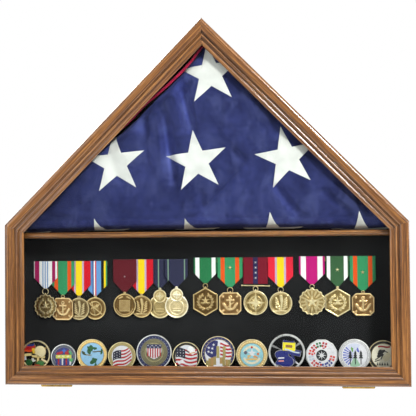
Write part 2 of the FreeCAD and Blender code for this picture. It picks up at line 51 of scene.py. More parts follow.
# Sizes of the case, in millimetres: x to the right, d back from the door's front face and
# h up from the underside of the boards.
HALF_WIDTH = 305.0
SHOULDER = 243.0
APEX = 553.0
PITCH = math.atan((APEX - SHOULDER) / HALF_WIDTH)     # slope of the roofs
SHELF = 231.0
MEDAL_REAR = 65.4
RIBBON_THICK = 1.3         # of a whole doubled ribbon,
RIBBON_CLOTH = 0.36        # of its cloth,
RIBBON_REAR = -0.3         # and where its rear layer lies
PENDANT_THICK = 2.4
POINT_HEIGHT = 18.0
COIN_THICK = 3.0
COIN_LEAN = math.radians(4.0)
COIN_FRONT, LAST_COIN_FRONT = 40.5, 43.8   # the last coin stands in the rack's second groove
GROOVE_FLOOR, COIN_FOOT = 17.3, 17.4
PALE_RING = 450            # coins whose ring is paler than this, as red + green + blue, have beads on it


def linear(rgb):
    """An sRGB colour, 0 to 255, as linear values."""
    return [c / 3294.6 if c <= 10 else ((c / 255 + 0.055) / 1.055) ** 2.4 for c in rgb]


def rgba(rgb):
    return (*linear(rgb), 1.0)


# ---- Material trees ----
class Finish:
    """A material built round one Principled shader, with short calls for its nodes."""

    def __init__(self, name, **settings):
        self.material = bpy.data.materials.new(name)
        self.material.use_nodes = True
        self.tree = self.material.node_tree
        self.shader = self.tree.nodes["Principled BSDF"]
        self.preset(**settings)

    def preset(self, **settings):
        for key, value in settings.items():
            self.shader.inputs[key.replace("_", " ")].default_value = value

    def node(self, kind, inputs=None, out=0, **settings):
        """Add a node, and return one of its outputs. Inputs are values or other nodes' outputs."""
        made = self.tree.nodes.new("ShaderNode" + kind)
        for key, value in settings.items():
            setattr(made, key, value)
        for key, value in (inputs or {}).items():
            if isinstance(value, bpy.types.NodeSocket):
                self.tree.links.new(value, made.inputs[key])
            else:
                made.inputs[key].default_value = value
        return made.outputs[out]

    def place(self, scale=(1, 1, 1), turn=(0, 0, 0), shift=(0, 0, 0)):
        """Object coordinates, turned, moved and then stretched."""
        here = self.node("TexCoord", out="Object")
        turned = self.node("Mapping", {"Vector": here, "Rotation": turn, "Location": shift})
        return self.node("Mapping", {"Vector": turned, "Scale": scale})

    def noise(self, where, scale=1.0, detail=3.0, rough=0.5, distort=0.0):
        return self.node("TexNoise", {"Vector": where, "Scale": scale, "Detail": detail,
                                      "Roughness": rough, "Distortion": distort})

    def wave(self, scale, distortion, where=None, detail=(2.0, 1.0), **settings):
        """Wave bands. detail is its detail and that detail's scale."""
        inputs = {"Vector": where or self.place(), "Scale": scale, "Distortion": distortion,
                  "Detail": detail[0], "Detail Scale": detail[1]}
        return self.node("TexWave", inputs, **settings)

    def ramp(self, factor, *stops):
        """A colour ramp; each stop is its position and an sRGB colour or a grey from 0 to 1."""
        made = self.tree.nodes.new("ShaderNodeValToRGB")
        marks = made.color_ramp.elements
        while len(marks) < len(stops):
            marks.new(0.5)
        for mark, (position, colour) in zip(marks, stops):
            mark.position = position
            mark.color = (colour,) * 3 + (1.0,) if isinstance(colour, float) else rgba(colour)
        self.tree.links.new(factor, made.inputs[0])
        return made.outputs[0]

    def mix(self, factor, a, b, how="MIX"):
        made = self.tree.nodes.new("ShaderNodeMix")
        made.data_type = "RGBA"
        made.blend_type = how
        for socket, value in ((made.inputs[0], factor), (made.inputs[6], a), (made.inputs[7], b)):
            if isinstance(value, bpy.types.NodeSocket):
                self.tree.links.new(value, socket)
            else:
                socket.default_value = value
        return made.outputs[2]

    def math(self, how, a, b=0.0):
        return self.node("Math", {0: a, 1: b}, operation=how)

    def set(self, **links):
        for key, value in links.items():
            self.tree.links.new(value, self.shader.inputs[key.replace("_", " ")])
        return self

    def bump(self, height, distance, strength=1.0, over=None):
        """Bump of a real depth, in metres, over another normal if one is given."""
        inputs = {"Height": height, "Distance": distance, "Strength": strength}
        if over:
            inputs["Normal"] = over
        return self.set(Normal=self.node("Bump", inputs))

    def paint_corner_shade(self, colour, reach, floor_value):
        """Painted shade: darken grooves and inside corners by how closed in they are."""
        open_air = self.node("AmbientOcclusion", {"Distance": reach}, out="AO", samples=8)
        shade = self.ramp(open_air, (0.25, floor_value), (0.85, 1.0))
        return self.mix(1.0, colour, shade, "MULTIPLY")


def oak(name, turn_deg, seed, tone):
    """Oak with a medium stain and a satin finish. Its grain runs along x after the turn about y."""
    f = Finish(name, Coat_Weight=0.9, Coat_Roughness=0.13, Coat_IOR=1.6, IOR=1.4, Specular_IOR_Level=0.25)
    turn = (0, math.radians(turn_deg), 0)
    shift = (seed * 0.37, seed * 0.011, seed * 0.023)
    wander = f.noise(f.place((3.2, 60, 60), turn, shift), 1.0, 3.0)
    rings = f.wave(1.0, 7.0, f.place((6, 190, 190), turn, shift), (3.0, 0.8), bands_direction="DIAGONAL")
    streaks = f.noise(f.place((10, 760, 760), turn, shift), 1.0, 5.0, 0.62)
    pores = f.noise(f.place((70, 2100, 2100), turn, shift), 1.0, 2.0, 0.5)
    board = f.ramp(wander, (0.3, (98, 59, 28)), (0.52, (126, 79, 39)), (0.75, (152, 100, 54)))
    grown = f.ramp(rings, (0.0, (74, 43, 21)), (0.45, (124, 78, 38)), (1.0, (158, 106, 60)))
    colour = f.mix(0.42, board, grown)
    fine = f.ramp(streaks, (0.4, (50, 28, 14)), (0.5, (124, 78, 39)), (0.62, (192, 138, 84)))
    colour = f.mix(0.56, colour, fine)
    pits = f.ramp(pores, (0.38, 0.3), (0.48, 1.0))
    colour = f.mix(0.6, colour, pits, "MULTIPLY")
    colour = f.mix(1.0, colour, (0.84 * tone, 0.79 * tone, 0.56 * tone, 1.0), "MULTIPLY")
    # Painted shade in the moulding's grooves and inside corners.
    colour = f.paint_corner_shade(colour, 0.005, 0.35)
    rough = f.ramp(streaks, (0.3, 0.5), (0.7, 0.34))
    eased = f.node("Bevel", {"Radius": 0.0012}, samples=6)
    f.set(Base_Color=colour, Roughness=rough, Coat_Normal=eased)
    f.bump(f.mix(0.5, streaks, pits), 0.00014, 0.6, eased)
    return f.material


def plywood():
    f = Finish("plywood_back", Roughness=0.6)
    figure = f.wave(1.0, 9.0, f.place((26, 30, 2.2)), (3.0, 0.6))
    fibres = f.noise(f.place((700, 700, 16)), 1.0, 4.0, 0.6)
    colour = f.ramp(figure, (0.0, (182, 142, 98)), (0.5, (205, 168, 122)), (1.0, (220, 187, 143)))
    lines = f.ramp(fibres, (0.3, (158, 118, 80)), (0.6, (222, 190, 148)))
    colour = f.mix(0.35, colour, lines)
    # Painted shade in the panel's inside corners.
    f.set(Base_Color=f.paint_corner_shade(colour, 0.01, 0.5))
    f.bump(fibres, 0.0001, 0.5)
    return f.material


def pile(name, dark, light, sheen):
    """Velvet or felt: a dense nap with slow patches where it has been brushed."""
    f = Finish(name, Roughness=0.95, Sheen_Weight=sheen, Sheen_Roughness=0.45, Specular_IOR_Level=0.15)
    nap = f.noise(f.place((1900, 1900, 1900)), 1.0, 3.0, 0.6)
    brushed = f.noise(f.place((9, 9, 14)), 1.0, 3.0, 0.5, 0.6)
    colour = f.mix(f.ramp(brushed, (0.35, 0.0), (0.7, 1.0)), rgba(dark), rgba(light))
    colour = f.mix(0.35, colour, f.ramp(nap, (0.3, 0.3), (0.7, 1.0)), "MULTIPLY")
    f.set(Base_Color=colour)
    f.bump(nap, 0.0004, 0.6)
    return f.material


def metal(name, dark, light, rough, scale, brushed=False):
    """Metal with slow tarnish, fine scratches and painted shade in its inside corners."""
    f = Finish(name, Metallic=1.0)
    tarnish = f.noise(f.place((55, 55, 55)), 1.0, 4.0, 0.6)
    grains = (scale * 0.08, scale, scale) if brushed else (scale, scale, scale)
    scratches = f.noise(f.place(grains), 1.0, 4.0, 0.65)
    colour = f.mix(f.ramp(tarnish, (0.3, 0.0), (0.72, 1.0)), rgba(dark), rgba(light))
    # Painted shade in the inside corners.
    colour = f.paint_corner_shade(colour, 0.003, 0.35)
    f.set(Base_Color=colour, Roughness=f.ramp(scratches, (0.25, rough - 0.1), (0.75, rough + 0.15)))
    f.bump(scratches, 0.00006, 0.4)
    return f.material


def moulded(name, colour_low, colour_high, rough):
    """Rubber, plastic or paint with a fine pebbled skin."""
    f = Finish(name)
    skin = f.noise(f.place((900, 900, 900)), 1.0, 3.0, 0.55)
    mottle = f.noise(f.place((30, 30, 30)), 1.0, 3.0, 0.5)
    colour = f.ramp(mottle, (0.3, colour_low), (0.7, colour_high))
    # Painted shade in the inside corners.
    f.set(Base_Color=f.paint_corner_shade(colour, 0.004, 0.5),
          Roughness=f.ramp(skin, (0.3, rough - 0.12), (0.7, rough + 0.12)))
    f.bump(skin, 0.0001, 0.5)
    return f.material


def clear_glass():
    """Picture glass: clear, with a faint reflection and a few specks of dust."""
    f = Finish("picture_glass")
    dust = f.noise(f.place((420, 420, 420)), 1.0, 2.0, 0.5)
    smears = f.noise(f.place((7, 7, 12)), 1.0, 4.0, 0.6)
    open_part = f.node("BsdfTransparent", {"Color": (0.985, 0.992, 0.988, 1.0)})
    f.tree.nodes.remove(f.shader)
    shine = f.node("BsdfGlossy", {"Color": (1, 1, 1, 1), "Roughness": f.ramp(dust, (0.4, 0.01), (0.8, 0.06))})
    facing = f.node("Fresnel", {"IOR": 1.16})
    amount = f.math("MULTIPLY", facing, f.ramp(smears, (0.3, 0.75), (0.75, 1.0)))
    both = f.node("MixShader", {0: amount, 1: open_part, 2: shine})
    out = next(n for n in f.tree.nodes if n.type == "OUTPUT_MATERIAL")
    f.tree.links.new(both, out.inputs["Surface"])
    return f.material


def flag_cloth():
    """Navy nylon-cotton bunting with a plain weave, faded a little in patches."""
    f = Finish("navy_bunting", Roughness=0.86, Specular_IOR_Level=0.12,
               Sheen_Weight=0.12, Sheen_Roughness=0.4, Sheen_Tint=rgba((150, 160, 220)))
    warp, weft = (f.wave(330.0, 0.6, bands_direction=way) for way in "XZ")
    weave = f.math("MULTIPLY", warp, weft)
    slubs = f.noise(f.place((30, 500, 500)), 1.0, 3.0, 0.6)
    fade = f.noise(f.place((11, 11, 9)), 1.0, 4.0, 0.6, 0.5)
    colour = f.ramp(fade, (0.3, (50, 58, 124)), (0.5, (74, 85, 164)), (0.7, (98, 110, 198)))
    colour = f.mix(0.22, colour, f.ramp(slubs, (0.3, (46, 54, 118)), (0.7, (98, 110, 190))))
    colour = f.mix(0.3, colour, f.ramp(weave, (0.1, 0.66), (0.8, 1.0)), "MULTIPLY")
    worn = f.noise(f.place((120, 120, 120), shift=(0.3, 0.1, 0.2)), 1.0, 4.0, 0.7)
    colour = f.mix(0.6, colour, f.ramp(worn, (0.35, 0.52), (0.62, 1.0)), "MULTIPLY")
    rubbed = f.noise(f.place((34, 34, 22), shift=(0.7, 0.2, 0.4)), 1.0, 3.0, 0.6, 0.8)
    colour = f.mix(f.ramp(rubbed, (0.48, 0.0), (0.7, 0.6)), colour, rgba((112, 124, 196)))
    # Painted shade: the cloth is darkened towards its left side, to 0.6 at the far left, and a little towards
    # its right side.
    across = f.node("SeparateXYZ", {"Vector": f.place((1.6, 1, 1), shift=(0.3125, 0, 0))})
    colour = f.mix(1.0, colour, f.ramp(across, (0.06, 0.6), (0.3, 1.0), (0.72, 1.0), (0.95, 0.9)), "MULTIPLY")
    # Painted shade in the folds, under the rolled edge and near the walls, reaching 20 mm.
    colour = f.paint_corner_shade(colour, 0.02, 0.3)
    f.set(Base_Color=colour)
    f.bump(f.mix(0.4, weave, slubs), 0.00025, 0.7)
    return f.material


def stitched(name, low, high):
    """Cloth of one colour with close rows of thread."""
    f = Finish(name, Roughness=0.8, Sheen_Weight=0.15, Sheen_Roughness=0.4, Specular_IOR_Level=0.2)
    rows = f.wave(700.0, 1.2, bands_direction="DIAGONAL")
    soft = f.noise(f.place((45, 45, 45)), 1.0, 3.0, 0.5)
    colour = f.ramp(soft, (0.3, low), (0.7, high))
    colour = f.mix(0.12, colour, f.ramp(rows, (0.0, 0.5), (0.8, 1.0)), "MULTIPLY")
    # Painted shade in the creases and corners.
    f.set(Base_Color=f.paint_corner_shade(colour, 0.004, 0.7))
    f.bump(rows, 0.00018, 0.6)
    return f.material


def painted(name, rough, coat, fibre, tone):
    """A finish whose colour is in the mesh's own colour attribute, for stripes and enamel."""
    f = Finish(name, Coat_Weight=coat, Coat_Roughness=0.12)
    own = f.node("VertexColor", out="Color", layer_name="paint")
    if fibre:
        f.preset(Sheen_Weight=0.08, Specular_IOR_Level=0.12)
        ribs = f.wave(420.0, 0.5, bands_direction="Z")
        threads = f.noise(f.place((2600, 2600, 120)), 1.0, 3.0, 0.6)
        colour = f.mix(0.25, own, f.ramp(ribs, (0.0, 0.6), (0.6, 1.0)), "MULTIPLY")
        colour = f.mix(0.2, colour, f.ramp(threads, (0.3, 0.6), (0.55, 1.0)), "MULTIPLY")
        f.bump(ribs, 0.0002, 0.7)
        f.set(Roughness=f.ramp(threads, (0.3, rough - 0.08), (0.7, rough + 0.1)))
    else:
        flow = f.noise(f.place((260, 260, 260)), 1.0, 3.0, 0.5)
        colour = f.mix(0.2, own, f.ramp(flow, (0.3, 0.6), (0.65, 1.0)), "MULTIPLY")
        f.bump(flow, 0.00008, 0.5)
        f.set(Roughness=f.ramp(flow, (0.3, rough - 0.05), (0.7, rough + 0.08)))
    f.set(Base_Color=f.mix(1.0, colour, (tone, tone, tone, 1.0), "MULTIPLY"))
    return f.material


def struck_metal(name, low, mid, high, rough=0.34):
    """Antiqued metal: dark in the sunk parts and rubbed bright on the raised ones."""
    f = Finish(name, Metallic=1.0)
    raised = f.node("VertexColor", out="Color", layer_name="paint")
    blotch = f.noise(f.place((180, 180, 180)), 1.0, 4.0, 0.6)
    height = f.mix(0.22, raised, blotch)
    colour = f.ramp(height, (0.12, low), (0.5, mid), (0.86, high))
    # Painted shade in the inside corners, over the antiqued darkening of the sunk parts.
    colour = f.paint_corner_shade(colour, 0.0014, 0.5)
    f.set(Base_Color=colour, Roughness=f.ramp(blotch, (0.3, rough - 0.08), (0.7, rough + 0.14)))
    f.bump(blotch, 0.00008, 0.4)
    return f.material


# ---- Making pieces ----
def to_frame(points):
    """Drawing millimetres (x, d, h) to the row frame in metres."""
    points = np.asarray(points, float)
    return points * MM + np.array([0.0, FRONT, BASE])


def piece(name, points, faces, materials, body="case", slot=None, smooth=True, paint=None, marks=None):
    """A new mesh object from drawing millimetres. paint is one linear colour for each face or
    each vertex, and marks the material index of each face."""
    mesh = bpy.data.meshes.new(name)
    mesh.from_pydata(to_frame(points).tolist(), [], faces)
    made = bpy.data.objects.new(name, mesh)
    bpy.context.scene.collection.objects.link(made)
    for material in materials:
        mesh.materials.append(material)
    if marks is not None:
        mesh.polygons.foreach_set("material_index", np.asarray(marks, np.int32))
    if paint is not None:
        lay_paint(mesh, paint, len(points))
    mesh.polygons.foreach_set("use_smooth", [smooth] * len(mesh.polygons))
    mesh.update()
    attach(made, body)
    return made


def lay_paint(mesh, paint, vertex_count):
    paint = np.asarray(paint, float)
    if paint.ndim == 1:
        paint = np.stack([paint] * 3, 1)
    owner = np.zeros(len(mesh.loops), np.int32)
    if len(paint) == vertex_count and vertex_count != len(mesh.polygons):
        mesh.loops.foreach_get("vertex_index", owner)
    else:
        sizes = np.zeros(len(mesh.polygons), np.int32)
        mesh.polygons.foreach_get("loop_total", sizes)
        owner = np.repeat(np.arange(len(mesh.polygons)), sizes)
    layer = mesh.color_attributes.new("paint", "FLOAT_COLOR", "CORNER")
    values = np.ones((len(mesh.loops), 4))
    values[:, :3] = paint[owner]
    layer.data.foreach_set("color", values.astype(np.float32).ravel())


class Parts:
    """Several shapes gathered into one mesh."""

    def __init__(self):
        self.points, self.faces, self.paint, self.marks = [], [], [], []

    def add(self, points, faces, paint, mark=0):
        """paint is one colour for all the faces, or one for each."""
        start = len(self.points)
        self.points.extend(np.asarray(points, float).tolist())
        self.faces.extend([tuple(start + k for k in face) for face in faces])
        paint = np.asarray(paint, float)
        self.paint.extend((np.tile(paint, (len(faces), 1)) if paint.ndim == 1 else paint).tolist())
        self.marks.extend([mark] * len(faces))

    def moved(self, matrix):
        """Move all points by a 4x4 matrix in drawing millimetres."""
        matrix = np.array(matrix, float)
        self.points = (np.asarray(self.points, float) @ matrix[:3, :3].T + matrix[:3, 3]).tolist()

    def piece(self, name, materials, **settings):
        return piece(name, self.points, self.faces, materials, paint=self.paint, marks=self.marks, **settings)


def grid_faces(rows, columns, around=False):
    """Quads between rows of points; around also joins each row's end to its start."""
    faces = []
    last = columns if around else columns - 1
    for i in range(rows - 1):
        for j in range(last):
            k = (j + 1) % columns
            faces.append((i * columns + j, i * columns + k, (i + 1) * columns + k, (i + 1) * columns + j))
    return faces


def shell_faces(rings, around, start=0, closed=False):
    """Quads between closed rings of points; closed also joins the last ring to the first."""
    faces = []
    for i in range(rings if closed else rings - 1):
        a, b = start + i * around, start + (i + 1) % rings * around
        for k in range(around):
            m = (k + 1) % around
            faces.append((a + k, b + k, b + m, a + m))
    return faces


def capped_faces(rings, around):
    """The same, with a first and a last point that close the two ends."""
    end = 1 + rings * around
    last = end - around
    faces = [(0, 1 + k, 1 + (k + 1) % around) for k in range(around)] + shell_faces(rings, around, 1)
    return faces + [(end, last + (k + 1) % around, last + k) for k in range(around)]


def ring_tube(middle, ring_r, wire_r):
    """A round wire ring in the x-h plane."""
    around, section = 28, 10
    points = []
    for a in np.linspace(0, 2 * math.pi, around, endpoint=False):
        for b in np.linspace(0, 2 * math.pi, section, endpoint=False):
            reach = ring_r + wire_r * math.cos(b)
            points.append((middle[0] + reach * math.cos(a), middle[1] + wire_r * math.sin(b),
                           middle[2] + reach * math.sin(a)))
    return points, shell_faces(around, section, closed=True)


def smoothstep(value, low, high):
    t = np.clip((value - low) / (high - low), 0, 1)
    return t * t * (3 - 2 * t)


# ---- The folded flag ----
FLAG_FOOT = SHELF + 0.45
FLAG_FRONT = 24.0
FLAG_BACK = 79.6
ROLL_HEIGHT = 24.0         # the lower front edge rolls under: this high, and this deep
ROLL_DEPTH = 30.0
EDGE_ROUND = 11.0
PUFF = 3.2                 # the most that the cloth simulation moves a point
FLAG_INSET = 15.5          # its sides, in from the outside of the case
STAR_R = 49.0
LAYERS = (35.0, 46.0, 57.5, 68.5)      # where the folded layers part, along the sides
LAYER_GAP = 2.2                        # depth of the grooves between them
NEAREST, DEEPEST = 17.5, 80.4          # the flag stays between the glass and the liner,
WALL_INSET = 14.6                      # and this far in from the outside of the case
STAR_LIFT, STAR_EDGE_LIFT = 0.55, 0.12     # of the sewn stars, above the cloth

# Soft folds in the front: ends (x, h), half-width and height, positive towards the viewer.
FOLDS = [
    (-42, 470, -19, 380, 9.5, -4.2), (-62, 462, -36, 390, 12, 2.2), (-10, 440, -6, 380, 13, 1.5),
    (-80, 415, -72, 330, 9, 4.0), (-64, 415, -48, 300, 9, -4.0), (-104, 418, -84, 372, 12, -2.6),
    (-122, 392, -104, 330, 14, 2.2), (-40, 345, -22, 268, 12, 2.0), (-9, 296, -3, 262, 7, -2.4),
    (8, 430, 60, 356, 12, 2.2), (42, 356, 68, 328, 6, -1.8), (24, 415, 74, 352, 8, -1.0),
    (104, 300, 140, 252, 8, -2.4), (122, 300, 160, 256, 9, 2.0), (187, 296, 232, 262, 9, 1.8),
    (176, 288, 214, 256, 8, -1.6), (-190, 300, -150, 262, 16, 1.8), (-232, 272, -196, 258, 10, 1.5),
    (60, 440, 100, 400, 14, 1.2), (96, 388, 130, 372, 12, -1.2), (-150, 360, -128, 300, 10, -1.4),
]
CREASE = (-15, 251, 69, 335)           # the edge of a layer underneath shows through here
FOLD_GAIN = 3.0


def near_segment(x, h, x0, h0, x1, h1):
    """Distance from a segment, and how far along it, from 0 to 1."""
    dx, dh = x1 - x0, h1 - h0
    along = ((x - x0) * dx + (h - h0) * dh) / (dx * dx + dh * dh)
    held = np.clip(along, 0, 1)
    return np.hypot(x - x0 - held * dx, h - h0 - held * dh), along


def fold_height(x, h):
    """How far the front stands towards the viewer because of its folds."""
    total = np.zeros_like(x)
    for x0, h0, x1, h1, width, height in FOLDS:
        away, along = near_segment(x, h, x0, h0, x1, h1)
        ends = np.clip(1 - (2 * np.clip(along, 0, 1) - 1) ** 2, 0, 1) ** 0.6
        total += height * np.exp(-((away / width) ** 2)) * (0.25 + 0.75 * ends)
    x0, h0, x1, h1 = CREASE
    side = ((x - x0) * (h1 - h0) - (h - h0) * (x1 - x0)) / math.hypot(x1 - x0, h1 - h0)
    away, _ = near_segment(x, h, *CREASE)
    total += 1.5 * np.exp(-((away / 22) ** 2)) * (0.5 - smoothstep(side, -3.0, 3.0))
    return total


def roll_table():
    """Arc length, height and depth along the flag's rolled lower edge, then straight up."""
    turn = np.linspace(0, math.pi / 2, 200)
    height = FLAG_FOOT + ROLL_HEIGHT * (1 - np.cos(turn))
    depth = FLAG_FRONT + ROLL_DEPTH * (1 - np.sin(turn))
    steps = np.hypot(np.diff(height), np.diff(depth))
    return np.concatenate([[0], np.cumsum(steps)]), height, depth


ROLL = roll_table()
ROLL_LENGTH = ROLL[0][-1]


def on_roll(v):
    """Height and depth on the flag's front at arc length v above the shelf."""
    over = np.maximum(v - ROLL_LENGTH, 0)
    low = np.minimum(v, ROLL_LENGTH)
    return np.interp(low, ROLL[0], ROLL[1]) + over, np.interp(low, ROLL[0], ROLL[2])


def roof_half_width(h, inset):
    """Half-width under the roofs at a height, this far in from their upper faces."""
    return (APEX - inset / math.cos(PITCH) - h) / math.tan(PITCH)


def flag_side(h, left):
    """Half-width of the flag at a height. High on the left its edge is drawn in from the frame."""
    inset = FLAG_INSET
    if left:
        inset = inset + 12.7 * smoothstep(h, 340, 398) + 4.6 * smoothstep(h, 418, 456)
        inset = inset - 3.4 * smoothstep(h, 484, 512)
    return np.minimum(roof_half_width(h, inset), HALF_WIDTH - inset - 0.8)


def flag_mesh():
    """A closed pad as a stack of rounded rings, from the shelf to the apex."""
    across = 96
    mean_inset = FLAG_INSET + 7.0                      # of the two sides, at the apex
    top = APEX - mean_inset / math.cos(PITCH) - 2.5
    v_top = ROLL_LENGTH + top - (FLAG_FOOT + ROLL_HEIGHT)
    rows = np.concatenate([np.linspace(0, ROLL_LENGTH, 11)[:-1], np.linspace(ROLL_LENGTH, v_top, 52)])
    heights, depths = on_roll(rows)
    corner = np.radians(np.linspace(-75, 0, 6))
    points = []
    for h, d in zip(heights, depths):
        left, right = -flag_side(h, True), flag_side(h, False)
        r = max(0.8, min(EDGE_ROUND, 0.42 * (right - left), 0.42 * (FLAG_BACK - d)))
        inward, deep = r - r * np.cos(corner), r + r * np.sin(corner)
        flat = np.linspace(d + r, FLAG_BACK - r, 12)[1:-1]
        inward = np.concatenate([inward, np.zeros(10), inward[::-1]])
        deep = np.concatenate([d + deep, flat, FLAG_BACK - deep[::-1]])
        ring = [(x, d) for x in np.linspace(left + r, right - r, across)]
        ring += list(zip(right - inward, deep))
        ring += [(x, FLAG_BACK) for x in np.linspace(right - r, left + r, across)]
        ring += list(zip(left + inward[::-1], deep[::-1]))
        points += [(x, y, h) for x, y in ring]
    count = len(points) // len(rows)
    half = count // 2
    faces = grid_faces(len(rows), count, around=True)
    for base, order in ((0, 1), ((len(rows) - 1) * count, -1)):
        for i in range(across - 1):
            quad = (i, half + across - 1 - i, half + across - 2 - i, i + 1)
            faces.append(tuple(base + k for k in quad[::order]))
        for first in (across - 1, half + across - 1):
            cap = [base + (first + k) % count for k in range(half - across + 2)]
            faces.append(tuple(cap[::-order]))
    return points, faces


def settle(made, reach):
    """Let air pressure puff a cloth pad up a little, moving no point further than reach, in mm."""
    start = np.array([v.co for v in made.data.vertices])
    cloth = made.modifiers.new("Cloth", "CLOTH")
    for key, value in {"quality": 5, "mass": 0.25, "bending_stiffness": 0.4, "shrink_min": -0.012,
                       "use_pressure": True, "uniform_pressure_force": 3.0}.items():
        setattr(cloth.settings, key, value)
    cloth.settings.effector_weights.gravity = 0.0
    cloth.collision_settings.use_collision = False
    scene = bpy.context.scene
    for step in range(1, 21):
        scene.frame_set(step)
    seen = made.evaluated_get(bpy.context.evaluated_depsgraph_get())
    end = np.array([v.co for v in seen.data.vertices])
    made.modifiers.clear()
    scene.frame_set(1)
    move = end - start
    length = np.linalg.norm(move, axis=1, keepdims=True)
    move *= np.tanh(length / (reach * MM)) * reach * MM / np.maximum(length, 1e-9)
    made.data.vertices.foreach_set("co", (start + move).astype(np.float32).ravel())
    made.data.update()


def apply_modifiers(made):
    seen = made.evaluated_get(bpy.context.evaluated_depsgraph_get())
    mesh = bpy.data.meshes.new_from_object(seen)
    made.modifiers.clear()
    made.data = mesh


def folded_flag(cloth):
    points, faces = flag_mesh()
    made = piece("flag_folded", points, faces, [cloth], slot="flag_cloth")
    settle(made, PUFF)
    smoother = made.modifiers.new("Subdivision", "SUBSURF")
    smoother.levels = smoother.render_levels = 1
    apply_modifiers(made)
    shape_flag(made)
    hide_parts("folded_flag")
    return made


def shape_flag(made):
    """Press the folds into the front and the layers into the sides, inside the flag's own space."""
    count = len(made.data.vertices)
    co, normal = np.zeros(count * 3, np.float32), np.zeros(count * 3, np.float32)
    made.data.vertices.foreach_get("co", co)
    made.data.vertices.foreach_get("normal", normal)
    co, normal = co.reshape(-1, 3).astype(float), normal.reshape(-1, 3)
    spot = (co - np.array([0.0, FRONT, BASE])) / MM
    x, d, h = spot.T
    facing = smoothstep(-normal[:, 1], 0.3, 0.9)
    edge = np.minimum(flag_side(h, True) + x, flag_side(h, False) - x)
    calm = smoothstep(edge, 2.0, 26.0) * smoothstep(h, FLAG_FOOT + 2.0, FLAG_FOOT + 30.0)
    d -= facing * calm * FOLD_GAIN * fold_height(x, h)
    beside = smoothstep(np.hypot(normal[:, 0], normal[:, 2]), 0.75, 0.97)
    beside = beside * smoothstep(h, FLAG_FOOT, FLAG_FOOT + 8)
    part = sum(np.exp(-(((d - layer) / 1.5) ** 2)) for layer in LAYERS)
    x -= normal[:, 0] * beside * part * LAYER_GAP
    h -= normal[:, 2] * beside * part * LAYER_GAP
    d[:] = np.clip(d, NEAREST, DEEPEST)
    h[:] = np.clip(h, FLAG_FOOT - 0.1, None)
    widest = np.minimum(roof_half_width(h, WALL_INSET), HALF_WIDTH - WALL_INSET + 0.2)
    x[:] = np.clip(x, -widest, widest)
    made.data.vertices.foreach_set("co", to_frame(np.stack([x, d, h], 1)).astype(np.float32).ravel())
    made.data.update()


def star_points(x, h, radius, turn_deg, ratio=0.382, points=5):
    """Corners of a star; its first point is at the top before it is turned, anticlockwise."""
    spots = []
    for k in range(points * 2):
        angle = math.radians(90 + turn_deg + 180.0 * k / points)
        reach = radius if k % 2 == 0 else radius * ratio
        spots.append((x + reach * math.cos(angle), h + reach * math.sin(angle)))
    return spots


def flag_stars(flag, white):
    """Five-pointed stars sewn on the cloth: they follow its folds, and roll under its lower edge."""
    tree = BVHTree.FromObject(flag, bpy.context.evaluated_depsgraph_get())
    flat_foot = FLAG_FOOT + ROLL_HEIGHT - ROLL_LENGTH     # height of the shelf line on flattened cloth
    stars = [(11.2, 470.4, 6), (-136, 336, 5), (-10.6, 337, 7), (126, 340, 10.4), (-285, 204.5, 10),
             (-161, 204.5, 10), (-21, 203.5, 10), (105, 210.5, 6), (239, 210.5, 7)]
    all_points, all_faces = [], []
    for cx, ch, turn in stars:
        corners = star_points(0, 0, STAR_R, turn)
        made = bmesh.new()
        middle = made.verts.new((0, 0, 0))
        rim = [made.verts.new((x, 0, h)) for x, h in corners]
        for k, corner in enumerate(rim):
            made.faces.new((middle, corner, rim[(k + 1) % len(rim)]))
        bmesh.ops.subdivide_edges(made, edges=made.edges[:], cuts=15, use_grid_fill=True)
        made.verts.index_update()
        on_edge = [v.is_boundary for v in made.verts]
        flat = np.array([v.co for v in made.verts])
        u, v = flat[:, 0] + cx, flat[:, 2] + ch - flat_foot
        height, depth = on_roll(np.maximum(v, 0))
        landed = []
        for k in range(len(u)):
            h0, d0 = on_roll(np.array([max(v[k] - 0.4, 0)]))
            h1, d1 = on_roll(np.array([max(v[k], 0) + 0.4]))
            along = Vector((0, float(d1[0] - d0[0]), float(h1[0] - h0[0]))).normalized()
            out = Vector((0, -along.z, along.y))
            start = Vector(to_frame([u[k], depth[k], height[k]])) + out * 0.014
            hit, normal, _, _ = tree.ray_cast(start, -out, 0.04)
            if hit is None or v[k] < 0.3:
                landed.append(None)
                continue
            lift = STAR_EDGE_LIFT if on_edge[k] else STAR_LIFT
            landed.append(tuple(hit + normal * lift * MM))
        number = {}
        for face in made.faces:
            ids = [q.index for q in face.verts]
            if any(landed[k] is None for k in ids):
                continue
            for k in ids:
                if k not in number:
                    number[k] = len(all_points)
                    all_points.append(landed[k])
            all_faces.append(tuple(number[k] for k in ids)[::-1])
        made.free()
    spots = (np.array(all_points) - np.array([0.0, FRONT, BASE])) / MM
    return piece("flag_stars", spots, all_faces, [white], slot="flag_cloth")


def red_edge(red):
    """The striped part of the flag shows as a narrow red fold along the upper left."""
    steps = 110
    h = np.linspace(514.0, 386.0, steps)
    half = 2.1
    beyond = 2.8 + 1.6 * smoothstep(-h, -480, -445)
    edge = -flag_side(h, True)
    out = np.array([-math.sin(PITCH), math.cos(PITCH)])
    section = np.radians(np.arange(0, 360, 22.5))
    points = []
    for k in range(steps):
        ripple = 0.35 * math.sin(k * 0.42) + 0.2 * math.sin(k * 1.13)
        for a in section:
            side = half * math.cos(a) + beyond[k]
            points.append((edge[k] + out[0] * side, 30.5 + ripple + 1.5 * math.sin(a), h[k] + out[1] * side))
    faces = grid_faces(steps, len(section), around=True)
    faces.append(tuple(range(len(section)))[::-1])
    faces.append(tuple((steps - 1) * len(section) + k for k in range(len(section))))
    return piece("flag_red_edge", points, faces, [red], slot="flag_cloth")


